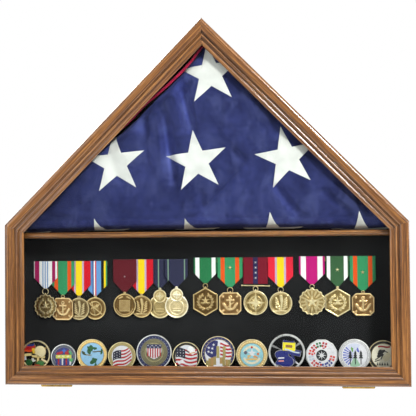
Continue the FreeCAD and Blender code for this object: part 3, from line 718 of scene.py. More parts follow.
# ---- Medals ----
# For each medal, as in the drawing: ribbon centre, width, height of its point, sideways tilt, shape,
# pendant half-width and centre height; then its stripes, metal and motif, and a device's height.
WHITE, MAGENTA, SKY, GREEN = (250, 250, 248), (170, 22, 92), (132, 168, 216), (56, 150, 98)
ORANGE, RED, LILAC, YELLOW = (232, 88, 30), (212, 22, 40), (200, 172, 198), (252, 218, 30)
NAVY, BLUE, BLACK, MAROON = (46, 48, 74), (106, 160, 216), (24, 24, 24), (98, 24, 34)
SAGE, ROYAL, WINE, MOSS = (122, 152, 128), (36, 56, 128), (122, 18, 38), (58, 98, 62)
LEAF, PLUM, ROSE = (40, 122, 74), (196, 22, 122), (232, 40, 62)
SERVICE = [(0.28, RED), (0.36, LILAC), (0.64, YELLOW), (0.72, LILAC), (1, RED)]
ACHIEVE = [(0.13, GREEN), (0.29, ORANGE), (0.71, GREEN), (0.87, ORANGE), (1, GREEN)]
FAINT = [(0.12, NAVY), (0.17, SAGE), (0.83, NAVY), (0.88, SAGE), (1, NAVY)]
MEDALS = {
    "a": (186.0, [
        (-257.0, 39.0, 142.0, 0.13, "scalloped", 19.2, 115.0, "gold", "branch", 0, [
            (0.04, WHITE), (0.24, MAGENTA), (0.37, WHITE), (0.42, SKY), (0.47, WHITE), (0.52, SKY),
            (0.57, WHITE), (0.62, SKY), (0.79, WHITE), (0.93, MAGENTA), (1, WHITE)]),
        (-229.0, 38.0, 131.5, 0.13, "octagon", 17.4, 110.6, "copper", "anchor", 0, ACHIEVE),
        (-203.0, 38.0, 130.5, 0.13, "round", 17.4, 110.8, "olive", "torch", 0, SERVICE),
        (-177.0, 39.0, 130.5, 0.13, "round", 17.6, 111.4, "bronze", "globe", 0, [
            (0.05, GREEN), (0.12, YELLOW), (0.2, BLACK), (0.39, BLUE), (0.44, ROYAL), (0.5, WHITE),
            (0.55, RED), (0.75, BLUE), (0.87, BLACK), (0.95, YELLOW), (1, GREEN)])]),
    "b": (188.0, [
        (-130.0, 38.0, 136.0, 0.13, "round", 18.4, 116.2, "bronze", "panel", 161, [(1, MAROON)]),
        (-103.5, 38.0, 133.0, 0.13, "round", 17.4, 114.2, "bronze", "torch", 0, SERVICE),
        (-75.0, 37.0, 142.0, 0.0, "double", 18.2, 113.8, "rubbed", "plain", 0, [
            (0.42, NAVY), (0.47, SAGE), (0.83, NAVY), (0.88, SAGE), (1, NAVY)]),
        (-48.5, 36.0, 144.0, -0.13, "double", 18.2, 114.6, "pale", "plain", 0, FAINT)]),
    "c": (190.0, [
        (-3.4, 36.0, 148.6, 0.02, "hexagon", 19.3, 121.3, "bronze", "branch", 0, [
            (0.07, LEAF), (0.25, WHITE), (0.78, LEAF), (0.95, WHITE), (1, LEAF)]),
        (35.2, 39.0, 142.4, -0.02, "octagon", 17.3, 118.5, "copper", "anchor", 174, ACHIEVE),
        (74.8, 37.6, 148.0, 0.0, "barred", 18.9, 119.6, "gold", "compass", 0, [
            (0.4, WINE), (0.6, (44, 42, 82)), (1, WINE)]),
        (113.6, 38.8, 142.8, 0.02, "round", 17.8, 118.6, "gold", "torch", 0, [
            (0.28, ROSE), (0.36, LILAC), (0.64, YELLOW), (0.72, LILAC), (1, ROSE)])]),
    "d": (191.0, [
        (162.0, 39.6, 146.6, 0.08, "scalloped", 20.8, 121.0, "gold", "sun", 0, [
            (0.07, PLUM), (0.27, WHITE), (0.72, PLUM), (0.92, WHITE), (1, PLUM)]),
        (200.8, 35.6, 143.4, 0.02, "hexagon", 19.2, 119.8, "gold", "branch", 170, [
            (0.05, MOSS), (0.2, WHITE), (0.78, MOSS), (0.94, WHITE), (1, MOSS)]),
        (239.4, 39.6, 136.6, -0.02, "octagon", 17.2, 116.6, "copper", "anchor", 166, ACHIEVE)]),
}


def medal_place(x, width, tilt):
    """From a medal's own space, with its left edge at x = 0 and its back at d = 0, to the drawing."""
    shift = Matrix.Translation((x - width / 2, MEDAL_REAR + min(0.0, tilt * width), 0))
    return shift @ Matrix.Rotation(-math.atan(tilt), 4, "Z")


def ribbon(name, medal, top, material, group):
    """A doubled ribbon hung over its bar, with its corners folded back to a point."""
    x, width, tip, tilt, shape = medal[:5]
    stripes = medal[10]
    marks = [0.0] + [end for end, _ in stripes]
    columns = sorted(set(np.round(np.concatenate([np.linspace(0, 1, 25), marks]), 4).tolist()))
    blunt = 0.12
    rows = np.concatenate([np.linspace(0, 0.1, 4)[:-1], np.linspace(0.1, 0.985, 16), [1.0]])
    points = []
    for q in columns:
        off = max(abs(2 * q - 1) - blunt, 0) / (1 - blunt)
        foot = tip + 1.0 + (0 if shape == "barred" else (POINT_HEIGHT - 1.0) * off)
        swell = 0.22 * math.cos((q - 0.5) * 2.6) + 0.05 * math.sin(q * 21 + x)
        line = []
        for r in rows:
            h = foot + (top - foot) * r
            hang = 0.1 * math.sin(h * 0.16 + x) * math.sin(q * math.pi)
            bulge = swell * math.sin(math.pi * min(1, r * 1.05))
            line.append((q * width, -RIBBON_THICK + 0.38 - bulge - hang, h))
        line[-1] = (q * width, -RIBBON_THICK / 2, top - 0.25)
        line.insert(0, (q * width, -RIBBON_THICK / 2, foot - 0.35))
        back = [(px, RIBBON_REAR, ph) for px, _, ph in line[1:-1]][::-1]
        points.append(line + back)
    depth = len(points[0])
    flat = [p for line in points for p in line]
    faces = grid_faces(len(columns), depth, around=True)
    tints = []
    for q0, q1 in zip(columns, columns[1:]):
        colour = next(c for end, c in stripes if (q0 + q1) / 2 <= end)
        tints += [linear(colour)] * depth
    place = np.array(medal_place(x, width, tilt))
    flat = np.array(flat) @ place[:3, :3].T + place[:3, 3]
    made = piece(name, flat, faces, [material], slot="ribbon", paint=tints)
    thick = made.modifiers.new("Solidify", "SOLIDIFY")
    thick.thickness = RIBBON_CLOTH * MM
    thick.offset = 0.0
    apply_modifiers(made)
    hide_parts("medal_ribbons_" + group)
    return made


def segment(x, z, x0, z0, x1, z1, r):
    """A rounded ridge along a line: 1 on the line and 0 at r from it."""
    away, _ = near_segment(x, z, x0, z0, x1, z1)
    return np.sqrt(np.clip(1 - (away / r) ** 2, 0, 1))


def hoop(x, z, radius, r, low, high):
    """A rounded ridge along a circle, or along an arc between two angles."""
    away = np.abs(np.hypot(x, z) - radius)
    angle = np.degrees(np.arctan2(z, x))
    inside = (angle >= low) & (angle <= high)
    return np.sqrt(np.clip(1 - (away / r) ** 2, 0, 1)) * inside


def star_ridge(x, z, radius, points=5):
    """A faceted star with ridges along its arms."""
    angle = np.arctan2(x, z)
    step = math.pi / points
    fold = np.abs((angle + step) % (2 * step) - step)
    reach = np.hypot(x, z)
    edge = radius * 0.36 / np.maximum(np.cos(step - fold) * 0.36 + np.sin(fold) * 1.02, 0.2)
    return np.clip(1 - reach / np.maximum(edge, 0.1), 0, 0.5) * 2


def motif(kind, x, z, size):
    """Height of a generic relief, 0 to 1, in the field of a medal of that half-width."""
    x, z = x / size, z / size
    parts = [np.zeros_like(x)]

    def line(x0, z0, x1, z1, r, high=1.0, way=1):
        parts.append(high * segment(way * x, z, x0, z0, x1, z1, r))

    def loop(radius, r, high=1.0, low=-181.0, top=181.0, rise=0.0, way=1):
        parts.append(high * hoop(way * x, z - rise, radius, r, low, top))

    if kind == "anchor":
        line(0, -0.5, 0, 0.42, 0.1)
        line(-0.3, 0.3, 0.3, 0.3, 0.09)
        line(-0.22, -0.32, 0.3, 0.1, 0.07, 0.7)
        loop(0.5, 0.11, 1.0, -165, -15, -0.02)
        loop(0.12, 0.06, rise=0.56)
        for s in (-1, 1):
            line(s * 0.5, -0.14, s * 0.6, -0.02, 0.12)
            for q in (-1, 1):
                line(s * 0.62, q * 0.62, s * 0.68, q * 0.68, 0.1)
    elif kind == "torch":
        line(0.02, -0.55, 0.1, 0.15, 0.1)
        line(0.1, 0.2, 0.02, 0.6, 0.16)
        for k in range(5):
            line(-0.1 - 0.05 * k, -0.5 + 0.2 * k, -0.42, -0.32 + 0.2 * k, 0.075, 0.9)
            line(0.2 + 0.04 * k, -0.5 + 0.2 * k, 0.5, -0.34 + 0.2 * k, 0.075, 0.9)
        line(-0.5, -0.66, 0.5, -0.66, 0.07)
        loop(0.84, 0.05, 0.7)
    elif kind == "globe":
        loop(0.6, 0.07, 0.8)
        loop(0.85, 0.05, 0.6)
        line(-0.62, 0.5, 0.62, -0.5, 0.08, 0.85)
        line(-0.3, 0.6, 0.0, -0.6, 0.06, 0.85)
        line(-0.56, -0.1, 0.4, 0.36, 0.06, 0.8)
        parts += [0.5 * np.clip(1 - (np.hypot(x, z) / 0.6) ** 2, 0, 1), star_ridge(x - 0.16, z - 0.18, 0.3)]
    elif kind == "panel":
        square = np.maximum(np.abs(x), np.abs(z + 0.04))
        parts += [0.55 * (square < 0.42), 0.9 * np.clip(1 - np.abs(square - 0.45) / 0.06, 0, 1)]
        line(-0.2, 0.72, -0.5, 0.6, 0.08, 0.8)
        line(0.2, 0.72, 0.5, 0.6, 0.08, 0.8)
        loop(0.8, 0.06, 0.7, -160, -20)
    elif kind == "compass":
        parts += [star_ridge(x, z, 0.75, 4), 0.8 * star_ridge(x * 0.7 + z * 0.7, z * 0.7 - x * 0.7, 0.5, 4)]
        loop(0.5, 0.07, 0.6)
        loop(0.84, 0.05, 0.7)
    elif kind == "sun":
        rays = (0.5 + 0.5 * np.cos(np.arctan2(x, z) * 16)) * smoothstep(np.hypot(x, z), 0.2, 0.5)
        parts += [0.75 * rays * (np.hypot(x, z) < 0.95), star_ridge(x, z, 0.6)]
        line(-0.28, -0.62, -0.46, 0.1, 0.1, 0.7)
        line(0.28, -0.62, 0.46, 0.1, 0.1, 0.7)
    elif kind == "branch":
        parts.append(star_ridge(x, z - 0.1, 0.42))
        for s in (-1, 1):
            loop(0.56, 0.04, 0.6, -88, 60, way=s)
            for k in range(7):
                a = math.radians(-82 + 23 * k)
                cx, cz = 0.56 * math.cos(a), 0.56 * math.sin(a)
                for turn, leaf, r in ((a + 1.1, 0.17, 0.07), (a + 2.1, 0.14, 0.06)):
                    line(cx, cz, cx + leaf * math.cos(turn), cz + leaf * math.sin(turn), r, 0.85, s)
        line(-0.34, -0.08, 0.34, -0.08, 0.07, 0.8)
    elif kind == "plain":
        loop(0.6, 0.04, 0.5, rise=-0.1)
        line(-0.3, -0.2, 0.3, -0.2, 0.05, 0.4)
        line(-0.3, -0.4, 0.3, -0.4, 0.05, 0.4)
    return np.clip(np.max(parts, axis=0), 0, 1)


def edge_reach(shape, angle, size):
    """Distance from a pendant's middle to its edge, in each direction."""
    if shape == "hexagon":
        return size / np.cos((angle - math.pi / 6) % (math.pi / 3) - math.pi / 6)
    if shape == "octagon":
        c, s = np.abs(np.cos(angle)), np.abs(np.sin(angle))
        return size / np.maximum(np.maximum(c, s), (c + s) / 1.64)
    if shape == "scalloped":
        return size - 0.8 + 0.8 * np.cos(angle * 16)
    return np.full_like(angle, size)


def struck(parts, shape, x0, z0, size, front, kind, relief=0.62, rim=1.8, spokes=112, rings=30):
    """A struck plate: raised rim, sunk field and a motif in relief, on a rounded edge."""
    angle = np.linspace(0, 2 * math.pi, spokes, endpoint=False) + math.pi / spokes
    reach = edge_reach(shape, angle, size)
    shares = np.concatenate([np.linspace(0, 1 - 2.3 * rim / size, rings)[1:],
                             1 - rim / size * np.array([2.0, 1.5, 1.1, 0.9, 0.55, 0.25, 0.08, 0.0])])
    centre = relief * float(motif(kind, np.zeros(1), np.zeros(1), size)[0])
    points, wear = [(x0, front + 0.4 - centre, z0)], [0.6]
    for share in shares:
        px, pz = reach * share * np.cos(angle), reach * share * np.sin(angle)
        inner = (1 - share) * size / rim
        lip = smoothstep(1.25 - inner, 0.0, 0.5) * (1 - 0.5 * smoothstep(0.18 - inner, 0.0, 0.18))
        raised = motif(kind, px, pz, size) * smoothstep(inner, 1.1, 1.6)
        beads = 0.1 * np.cos(angle * 48) * smoothstep(1.9 - inner, 0, 0.5) * smoothstep(inner - 1.2, 0, 0.3)
        inside = smoothstep(inner, 1.1, 1.6)
        grain = 0.5 * np.sin(px * 2.3 + z0 * 5) * np.sin(pz * 1.9 + x0 * 3) * inside
        grain = grain + 0.5 * np.sin((px + pz) * 3.1 + z0) * np.sin((px - pz) * 2.7 + x0) * inside
        high = np.clip(raised * 0.9 + 0.9 * lip + beads + 0.34 * grain, -0.35, 1)
        depth = front + 0.42 - relief * raised - 0.42 * lip - 0.25 * beads - 0.16 * grain
        points += list(zip(x0 + px, depth, z0 + pz))
        wear += list(0.32 + 0.64 * high)
    for share, depth, value in ((1.0, -0.5, 0.4), (0.975, 0.0, 0.6), (0.5, 0.0, 0.4)):
        px, pz = reach * share * np.cos(angle), reach * share * np.sin(angle)
        points += list(zip(x0 + px, np.full(spokes, depth), z0 + pz))
        wear += [value] * spokes
    points.append((x0, 0.0, z0))
    wear.append(0.4)
    faces = capped_faces(len(shares) + 3, spokes)
    wear = np.array(wear)
    tone = [wear[list(face)].mean() for face in faces]
    parts.add(points, faces, np.stack([tone] * 3, 1))


def ball(parts, x, d, z, r, squash=(1, 1, 1), tone=0.85):
    """A ball, or a bead squashed along x, d and z."""
    across, up = 14, 9
    points = [(x, d, z + r * squash[2])]
    for i in range(1, up):
        a = math.pi * i / up
        for k in range(across):
            b = 2 * math.pi * k / across
            points.append((x + r * squash[0] * math.sin(a) * math.cos(b),
                           d + r * squash[1] * math.sin(a) * math.sin(b), z + r * squash[2] * math.cos(a)))
    points.append((x, d, z - r * squash[2]))
    parts.add(points, capped_faces(up - 1, across), (tone,) * 3)


def raised_star(parts, x, d, z, radius, high, turn=0.0, tone=0.85, mark=0, points=5):
    """A small faceted star standing on a face at depth d."""
    rim = star_points(x, z, radius, turn, 0.42, points)
    spots = [(x, d - high, z)] + [(px, d, pz) for px, pz in rim] + [(px, d + 0.3, pz) for px, pz in rim]
    n = len(rim)
    faces = [(0, 1 + (k + 1) % n, 1 + k) for k in range(n)]
    faces += [(1 + k, 1 + (k + 1) % n, 1 + n + (k + 1) % n, 1 + n + k) for k in range(n)]
    parts.add(spots, faces, (tone,) * 3, mark)


def pendant(name, medal, metals, group):
    """A pendant with its suspension ring, and its upper disc, clasp bar or ribbon star if it has one."""
    x, width, tip, tilt, shape, size, height, metal, kind, device = medal[:10]
    parts = Parts()
    mid = width / 2
    round_shape = "round" if shape in ("double", "barred") else shape
    struck(parts, round_shape, mid, height, size, -PENDANT_THICK, kind)
    top = height + float(edge_reach(round_shape, np.array([math.pi / 2]), size)[0])
    if shape == "double":
        small = 10.2
        top = tip - 1.5
        struck(parts, "round", mid, top - small, small, -PENDANT_THICK - 0.8, "compass", 0.4, 1.1, 72, 16)
    hook = tip
    if shape == "barred":
        hook = tip - 4.0
        for k in range(43):
            r = 1.0 + 0.5 * (k in (0, 42))
            ball(parts, mid - 21 + k, -RIBBON_THICK, tip - 2.0 - 0.02 * (k - 21), r, tone=0.8)
    ring_r = (hook - top) / 2 + 1.0
    middle = (mid, -PENDANT_THICK / 2, (hook + top) / 2)
    parts.add(*ring_tube(middle, ring_r, 0.55), (0.8,) * 3)
    ball(parts, mid, -PENDANT_THICK / 2, top + 0.2, 1.5, (0.8, 0.7, 1.1))
    if device:
        small = kind == "panel"
        raised_star(parts, mid, -RIBBON_THICK - 0.1, device, 1.9 if small else 3.6, 1.0,
                    tone=0.95, mark=int(small))
    if shape == "barred":
        for k in range(4):
            raised_star(parts, mid + 0.3, -RIBBON_THICK - 0.05, 182 - 8.0 * k, 2.4, 0.4, turn=45, points=4,
                        mark=1, tone=0.95)
    parts.moved(medal_place(x, width, tilt))
    made = parts.piece(name, [metals[metal], metals["silver"]], slot="bronze")
    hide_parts("medal_pendants_" + group)
    return made


# ---- Coins ----
# Flat shapes for their enamel, in millimetres from the coin's middle. Each is (corners, colour, height).
def arc(x, z, r, low=0.0, high=360.0, steps=40):
    angles = np.radians(np.linspace(low, high, steps, endpoint=(high - low) < 360))
    return [(x + r * math.cos(a), z + r * math.sin(a)) for a in angles]


def band(r0, r1, low, high):
    """A sector of a ring round the middle."""
    steps = max(4, int((high - low) / 6))
    return arc(0, 0, r1, low, high, steps) + arc(0, 0, r0, low, high, steps)[::-1]


def bar(x, z, w, h, turn_deg=0.0):
    c, s = math.cos(math.radians(turn_deg)), math.sin(math.radians(turn_deg))
    corners = [(-w / 2, -h / 2), (w / 2, -h / 2), (w / 2, h / 2), (-w / 2, h / 2)]
    return [(x + a * c - b * s, z + a * s + b * c) for a, b in corners]


def wave(x0, x1, z, thick, swell, phase=0.0, rise=0.0):
    """A waving stripe."""
    xs = np.linspace(x0, x1, 18)
    mid = z + swell * np.sin((xs - x0) / (x1 - x0) * 2 * math.pi + phase) + rise * (xs - x0)
    return list(zip(xs, mid - thick / 2)) + list(zip(xs, mid + thick / 2))[::-1]


def land(x, z, w, h, seed, turn=0.0):
    """An irregular coast line."""
    draw = np.random.default_rng(seed)
    phase = draw.uniform(0, 2 * math.pi, 5)
    spots = []
    for a in np.linspace(0, 2 * math.pi, 40, endpoint=False):
        r = 1 + sum(0.26 / (k + 1) * math.sin((k + 2) * a + phase[k]) for k in range(5))
        px, pz = w / 2 * r * math.cos(a), h / 2 * r * math.sin(a)
        spots.append((x + px * math.cos(turn) - pz * math.sin(turn),
                      z + px * math.sin(turn) + pz * math.cos(turn)))
    return spots


def shield(x, z, w, h):
    side = [(w / 2, h * 0.42), (w / 2, 0.0), (w * 0.42, -h * 0.22), (w * 0.22, -h * 0.42)]
    left, right = [(x - a, z + b) for a, b in side], [(x + a, z + b) for a, b in side[::-1]]
    return left + [(x, z - h * 0.52)] + right + [(x, z + h * 0.47)]


def trimmed(points, radius):
    """Cut a flat shape to a round field."""
    for k in range(48):
        a = 2 * math.pi * k / 48
        nx, nz = math.cos(a), math.sin(a)
        kept = []
        for i, here in enumerate(points):
            before = points[i - 1]
            s0, s1 = (radius - p[0] * nx - p[1] * nz for p in (before, here))
            if (s0 < 0) != (s1 < 0):
                t = s0 / (s0 - s1)
                kept.append((before[0] + (here[0] - before[0]) * t, before[1] + (here[1] - before[1]) * t))
            if s1 >= 0:
                kept.append(here)
        points = kept
        if len(points) < 3:
            return []
    return points


def slab(parts, points, front, back, colour, mark):
    """A flat shape raised from the face, with a narrow chamfer; its far side is closed."""
    if len(points) < 3:
        return
    area = sum(a[0] * b[1] - b[0] * a[1] for a, b in zip(points, points[1:] + points[:1]))
    if area < 0:
        points = points[::-1]
    n = len(points)
    tight = []
    for k in range(n):
        (ax, az), (bx, bz), (cx, cz) = points[k - 1], points[k], points[(k + 1) % n]
        ux, uz = ax - cx, az - cz
        length = math.hypot(ux, uz) or 1.0
        tight.append((bx + uz / length * 0.12, bz - ux / length * 0.12))
    spots = [(px, front, pz) for px, pz in tight] + [(px, front + 0.12, pz) for px, pz in points]
    spots += [(px, back, pz) for px, pz in points]
    faces = [tuple(range(n))]
    for low in (0, n):
        faces += [(low + (k + 1) % n, low + k, low + n + k, low + n + (k + 1) % n) for k in range(n)]
    faces.append(tuple(range(2 * n, 3 * n))[::-1])
    parts.add(spots, faces, linear(colour), mark)


def lathe_disc(parts, profile, tones, flat_sides=0):
    """Turn a profile of (radius, depth) round the coin's axis. With flat_sides the edge is a polygon."""
    spokes = 96
    angle = np.linspace(0, 2 * math.pi, spokes, endpoint=False) + math.pi / spokes
    grow = np.ones(spokes)
    if flat_sides:
        step = 2 * math.pi / flat_sides
        grow = 1 / np.cos((angle - step / 2) % step - step / 2)
    outer = max(r for r, _ in profile)
    points = []
    for r, depth in profile:
        reach = r * (1 + (grow - 1) * smoothstep(r / outer, 0.75, 1.0))
        points += list(zip(reach * np.cos(angle), np.full(spokes, depth), reach * np.sin(angle)))
    paint = np.repeat(np.stack([tones] * 3, 1), spokes, axis=0)
    parts.add(points, shell_faces(len(profile), spokes), paint)


METAL, PAINT = 0, 1
C_RED, C_BLUE, C_WHITE = (186, 28, 34), (38, 54, 126), (228, 228, 230)
C_GREEN, C_TEAL = (34, 94, 46), (150, 206, 216)


def waving_flag(x, z, w, h, swell, stripes, rise):
    """A generic striped flag with a dark starred corner."""
    thick = h / stripes
    made = []
    for k in range(stripes):
        stripe = wave(x - w / 2, x + w / 2, z + h / 2 - (k + 0.5) * thick, thick, swell, 0.6, rise)
        made.append((stripe, C_RED if k % 2 == 0 else C_WHITE, 0.2))
    xs = np.linspace(x - w / 2, x - w * 0.05, 8)
    top = z + h / 2 + swell * np.sin(0.6 + np.linspace(0, 0.45, 8) * 2 * math.pi) + rise * (xs - x + w / 2)
    upper = list(zip(xs, top))
    made.append((upper + [(px, pz - h * 0.56) for px, pz in upper[::-1]], (24, 26, 50), 0.34))
    for i in range(3):
        for j in range(3):
            px = x - w * 0.42 + i * w * 0.14
            pz = z + h * 0.38 - j * h * 0.16 + rise * (px - x + w / 2) + swell * 0.5
            made.append((star_points(px, pz, 0.04 * w, 0), C_WHITE, 0.44))
    return made


# Each design is a metal, rim width, ring colour and width, field colour (None where the coin is
# pierced) and the enamel shapes.
def coloured_patches():
    return ("gold", 1.9, None, 0, None, [
        (wave(-21, -3, 13.8, 4.0, 0.8, 0.3, 0.1), C_BLUE, 0.8),
        (wave(-21, -1.5, 9.6, 6.4, 0.8, 0.3, 0.1), C_RED, 0.9),
        (wave(-21, -5, 5.6, 3.0, 0.8, 0.3, 0.1), (236, 84, 30), 0.95),
        (bar(-3.5, 6.5, 4.4, 8, 14), (250, 206, 50), 1.0),
        (arc(6.5, 5.0, 9.0, -70, 200), (250, 234, 180), 1.0),
        (bar(-14, 0.2, 14, 3.8, 4), (252, 230, 156), 0.8),
        (bar(4, -2.5, 20, 3.4, -4), (252, 226, 150), 0.7), (bar(-18, -4, 5, 8, 8), (226, 226, 230), 0.6),
        (land(-12, -13.0, 15, 10, 4), C_GREEN, 0.9), (land(-4, -8.0, 6, 5, 6), (240, 240, 226), 0.95),
        (land(6.5, -13.5, 15, 8, 9), (64, 130, 60), 0.8),
        (bar(14, -9, 12, 2.8, -32), (252, 232, 176), 0.7),
        (land(2.5, -16, 6, 4, 12), (206, 44, 36), 0.95), (bar(3.5, -8, 3.6, 14, 0), (252, 226, 150), 0.7)])


def blue_columns():
    return ("silver", 1.5, (98, 104, 118), 3.2, (58, 60, 124), [
        (land(-6.5, 5.6, 9, 6, 2, 0.4), C_RED, 0.3), (land(5.4, 5.8, 8, 7, 5), C_RED, 0.3),
        (star_points(0.6, 9.5, 4.2, 0, 0.5, 4), (60, 110, 196), 0.35),
        (land(10.5, 7, 5, 7, 7, 0.6), (92, 176, 120), 0.3),
        (bar(0, 0.6, 25, 5.4, 1), (216, 220, 90), 0.4),
        (bar(-7.5, 0.9, 4.2, 2.6, 20), (250, 244, 180), 0.55),
        (bar(-0.5, 0.9, 4.2, 2.6, -16), (250, 244, 180), 0.55),
        (bar(7, 0.9, 4.2, 2.6, 12), (250, 244, 180), 0.55)]
        + [(bar(-11 + 3.1 * k, -7, 2.4, 10.5), [C_BLUE, C_RED, (70, 80, 150), C_WHITE][k % 4], 0.25)
           for k in range(8)]
        + [(land(12, -4.5, 5, 7, 12), (96, 176, 110), 0.4)])


def land_and_water():
    return ("gold", 1.2, (250, 212, 128), 3.9, (156, 206, 240), [
        (land(-3.5, 8, 9, 13, 3, 0.3), C_GREEN, 0.35), (land(-13, 2.0, 9, 4, 6, -0.5), (70, 78, 40), 0.3),
        (land(4.0, 9.5, 6, 5, 8), C_GREEN, 0.3), (land(8.5, 4.6, 14, 2.4, 11), (96, 84, 60), 0.3),
        (land(15, 4.4, 4, 7, 14), C_GREEN, 0.3), (land(2.5, -9.8, 10, 9, 17, -0.5), C_GREEN, 0.35),
        (land(-6, -0.6, 11, 1.8, 19), (150, 128, 70), 0.3), (land(5.5, -17, 5, 6, 21), C_GREEN, 0.3)])


def brass_flag():
    return ("brass", 1.4, (176, 160, 104), 3.6, C_WHITE, waving_flag(0.5, -7.0, 29, 23, 1.8, 9, 0.38))


def striped_shield():
    return ("silver", 1.9, (36, 42, 86), 4.4, (118, 112, 82), [
        (band(13.2, 14.6, 0, 359.9), (168, 158, 110), 0.25)]
        + [(shield(0, 1.5, 23, 23), C_WHITE, 0.35)]
        + [(bar(-9.4 + 3.76 * k, 0.2, 2.1, 18 - abs(k - 2.5) * 2.2), C_RED, 0.45) for k in range(6)]
        + [(bar(0, 9.2, 23, 6.2), (46, 50, 88), 0.5)]
        + [(star_points(-9.3 + 3.1 * k, 9.2 + 1.3 * (-1) ** k, 1.4, 0), C_WHITE, 0.6) for k in range(7)]
        + [(star_points(23 * math.cos(a), 23 * math.sin(a), 1.1, 0), (150, 156, 176), 0.3)
           for a in np.linspace(0.2, 2 * math.pi, 30)])


def dark_flag():
    return ("gold", 1.3, (26, 24, 24), 2.8, (224, 226, 232), waving_flag(0, -1.0, 33, 26, 1.7, 9, -0.06)
        + [(land(8, 10, 15, 10, 23, -0.3), (250, 250, 250), 0.55),
           (bar(9, 5, 10, 1.5, 14), (226, 150, 60), 0.6),
           (land(-9, -9, 12, 6, 29), (244, 244, 246), 0.5), (bar(2.0, 7, 6, 1.6, -30), (60, 58, 62), 0.6)])


def two_towers():
    return ("gold", 1.3, (46, 46, 100), 3.6, (232, 232, 236), [
        (arc(-7, 6.5, 13.5, 60, 285), (40, 42, 104), 0.25)]
        + [(star_points(px, pz, 2.7, 8), C_WHITE, 0.4)
           for px, pz in ((-7, 13), (-14.5, 8.5), (-9, 7.5), (-15, 2.5), (-10, 1.0))]
        + [(wave(3, 21, 14 - 5.4 * k, 2.8, 0.9, 1.2, -0.16), C_RED, 0.3) for k in range(4)]
        + [(bar(-0.4, 2.0, 4.6, 18), (172, 158, 96), 0.6), (bar(9.2, 2.0, 4.6, 18), (172, 158, 96), 0.6)]
        + [(bar(px, -9 - 0.4 * abs(px), 4.2, 9 + px * 7 % 5), (160 + k * 13 % 30, 146, 88), 0.5)
           for k, px in enumerate((-17, -13, -9.4, -5.2, 4.4, 8.4, 13, 17))]
        + [(star_points(22.5 * math.cos(a), 22.5 * math.sin(a), 1.0, 0), (196, 190, 160), 0.3)
           for a in np.linspace(0.1, 2 * math.pi, 26)])


def pale_crest():
    return ("gold", 1.6, (226, 196, 132), 4.2, C_TEAL, [
        (band(10.8, 14.2, 20, 160), (236, 226, 196), 0.25),
        (band(10.8, 14.2, 200, 340), (236, 226, 196), 0.25), (star_points(0, 2.5, 7.5, 0), C_WHITE, 0.35),
        (arc(0, 11.5, 1.7), C_RED, 0.4), (arc(-9.5, 3.5, 2.6), (98, 98, 110), 0.4),
        (arc(9.5, 1.5, 1.9), (222, 118, 70), 0.4), (bar(0, -6.6, 17, 2.6, 0), (232, 192, 110), 0.4),
        (land(-4.5, -2.0, 6, 4, 31), (220, 186, 120), 0.4),
        (land(5.5, -2.8, 6, 4, 33), (226, 160, 96), 0.4)])


def open_shapes():
    return ("silver", 2.7, None, 0, None, [
        (land(-4.5, -10.0, 28, 22, 37, 0.5), (30, 40, 124), 0.9),
        (bar(3.5, 8.6, 19, 12.5, -3), (252, 236, 40), 0.9),
        (wave(-5, 11, 16.0, 4.0, 0.7, 1.0, -0.06), (36, 44, 118), 0.8),
        (bar(9, 0.5, 24, 8.5, -13), (40, 48, 122), 0.8),
        (wave(-3, 19, 4.5, 2.2, 0.5, 0.4, -0.24), (206, 220, 236), 1.05),
        (bar(-8.5, -8.5, 9, 2.1, 3), (240, 240, 244), 1.05),
        (bar(-8.5, -13.0, 8, 2.1, 2), (236, 150, 150), 1.05),
        (bar(13, -14, 12, 2.2, -40), (232, 232, 236), 0.7),
        (bar(3.4, 9.2, 10, 4.2, -4), (156, 110, 60), 1.05), (bar(10, -9, 3.0, 14, 24), (40, 48, 122), 0.7)]
        + [(star_points(-3 + 4.2 * k, 13.2, 1.5, 0), (250, 234, 60), 1.1) for k in range(4)])


def ring_of_blocks():
    blocks = []
    tints = [C_RED, (60, 76, 156), C_RED, (226, 84, 70), (196, 206, 222), (236, 236, 240),
             C_RED, (40, 120, 62), (50, 66, 140), (226, 70, 56), (232, 232, 236), (206, 60, 60)]
    for k in range(12):
        a = math.radians(75 - 30 * k)
        cx, cz = 16.2 * math.cos(a), 16.2 * math.sin(a)
        lean = math.degrees(a) - 90
        blocks.append((bar(cx, cz, 7.4, 7.6, lean), tints[(k * 5) % 12], 0.3))
        blocks.append((bar(cx, cz, 1.6, 7.6, lean), C_WHITE, 0.4))
        blocks.append((bar(cx, cz, 7.4, 1.2, lean), C_WHITE, 0.4))
        if k % 3 == 0:
            blocks.append((bar(cx * 0.68, cz * 0.68, 3.0, 1.8, lean), tints[(k + 2) % 12], 0.3))
    return ("silver", 0.9, None, 0, (236, 236, 238), blocks
        + [(arc(0, 0, 8.4), (30, 32, 34), 0.3), (star_points(0, 0, 7.4, 0, 0.3, 8), C_WHITE, 0.45),
           (arc(0, 0, 2.7), C_WHITE, 0.5)])


def three_pines():
    pines = []
    for px in (-6.5, 1.0, 9.5):
        for k in range(3):
            w, z = 4.4 + 1.3 * k, 5.5 - 3.4 * k
            tier = [(px - w / 2, z - 3.6), (px + w / 2, z - 3.6), (px, z + 2.2)]
            pines.append((tier, (26, 30, 30), 0.35 + 0.05 * k))
        pines.append((bar(px, -9.5, 1.4, 9), (30, 32, 32), 0.35))
    return ("silver", 2.0, (226, 226, 228), 2.2, (238, 238, 242), [
        (band(2, 17.5, 60, 130), (214, 220, 238), 0.12), (band(2, 17.5, 246, 300), (160, 200, 168), 0.12)]
        + [(band(2, 17.5, 134 + 14 * k, 142 + 14 * k), (104, 118, 204), 0.14) for k in range(8)]
        + [(land(-3.5, 8.5, 4, 6, 43), (110, 170, 70), 0.3), (land(5, 7.5, 4, 6, 45), (100, 110, 200), 0.3)]
        + pines)


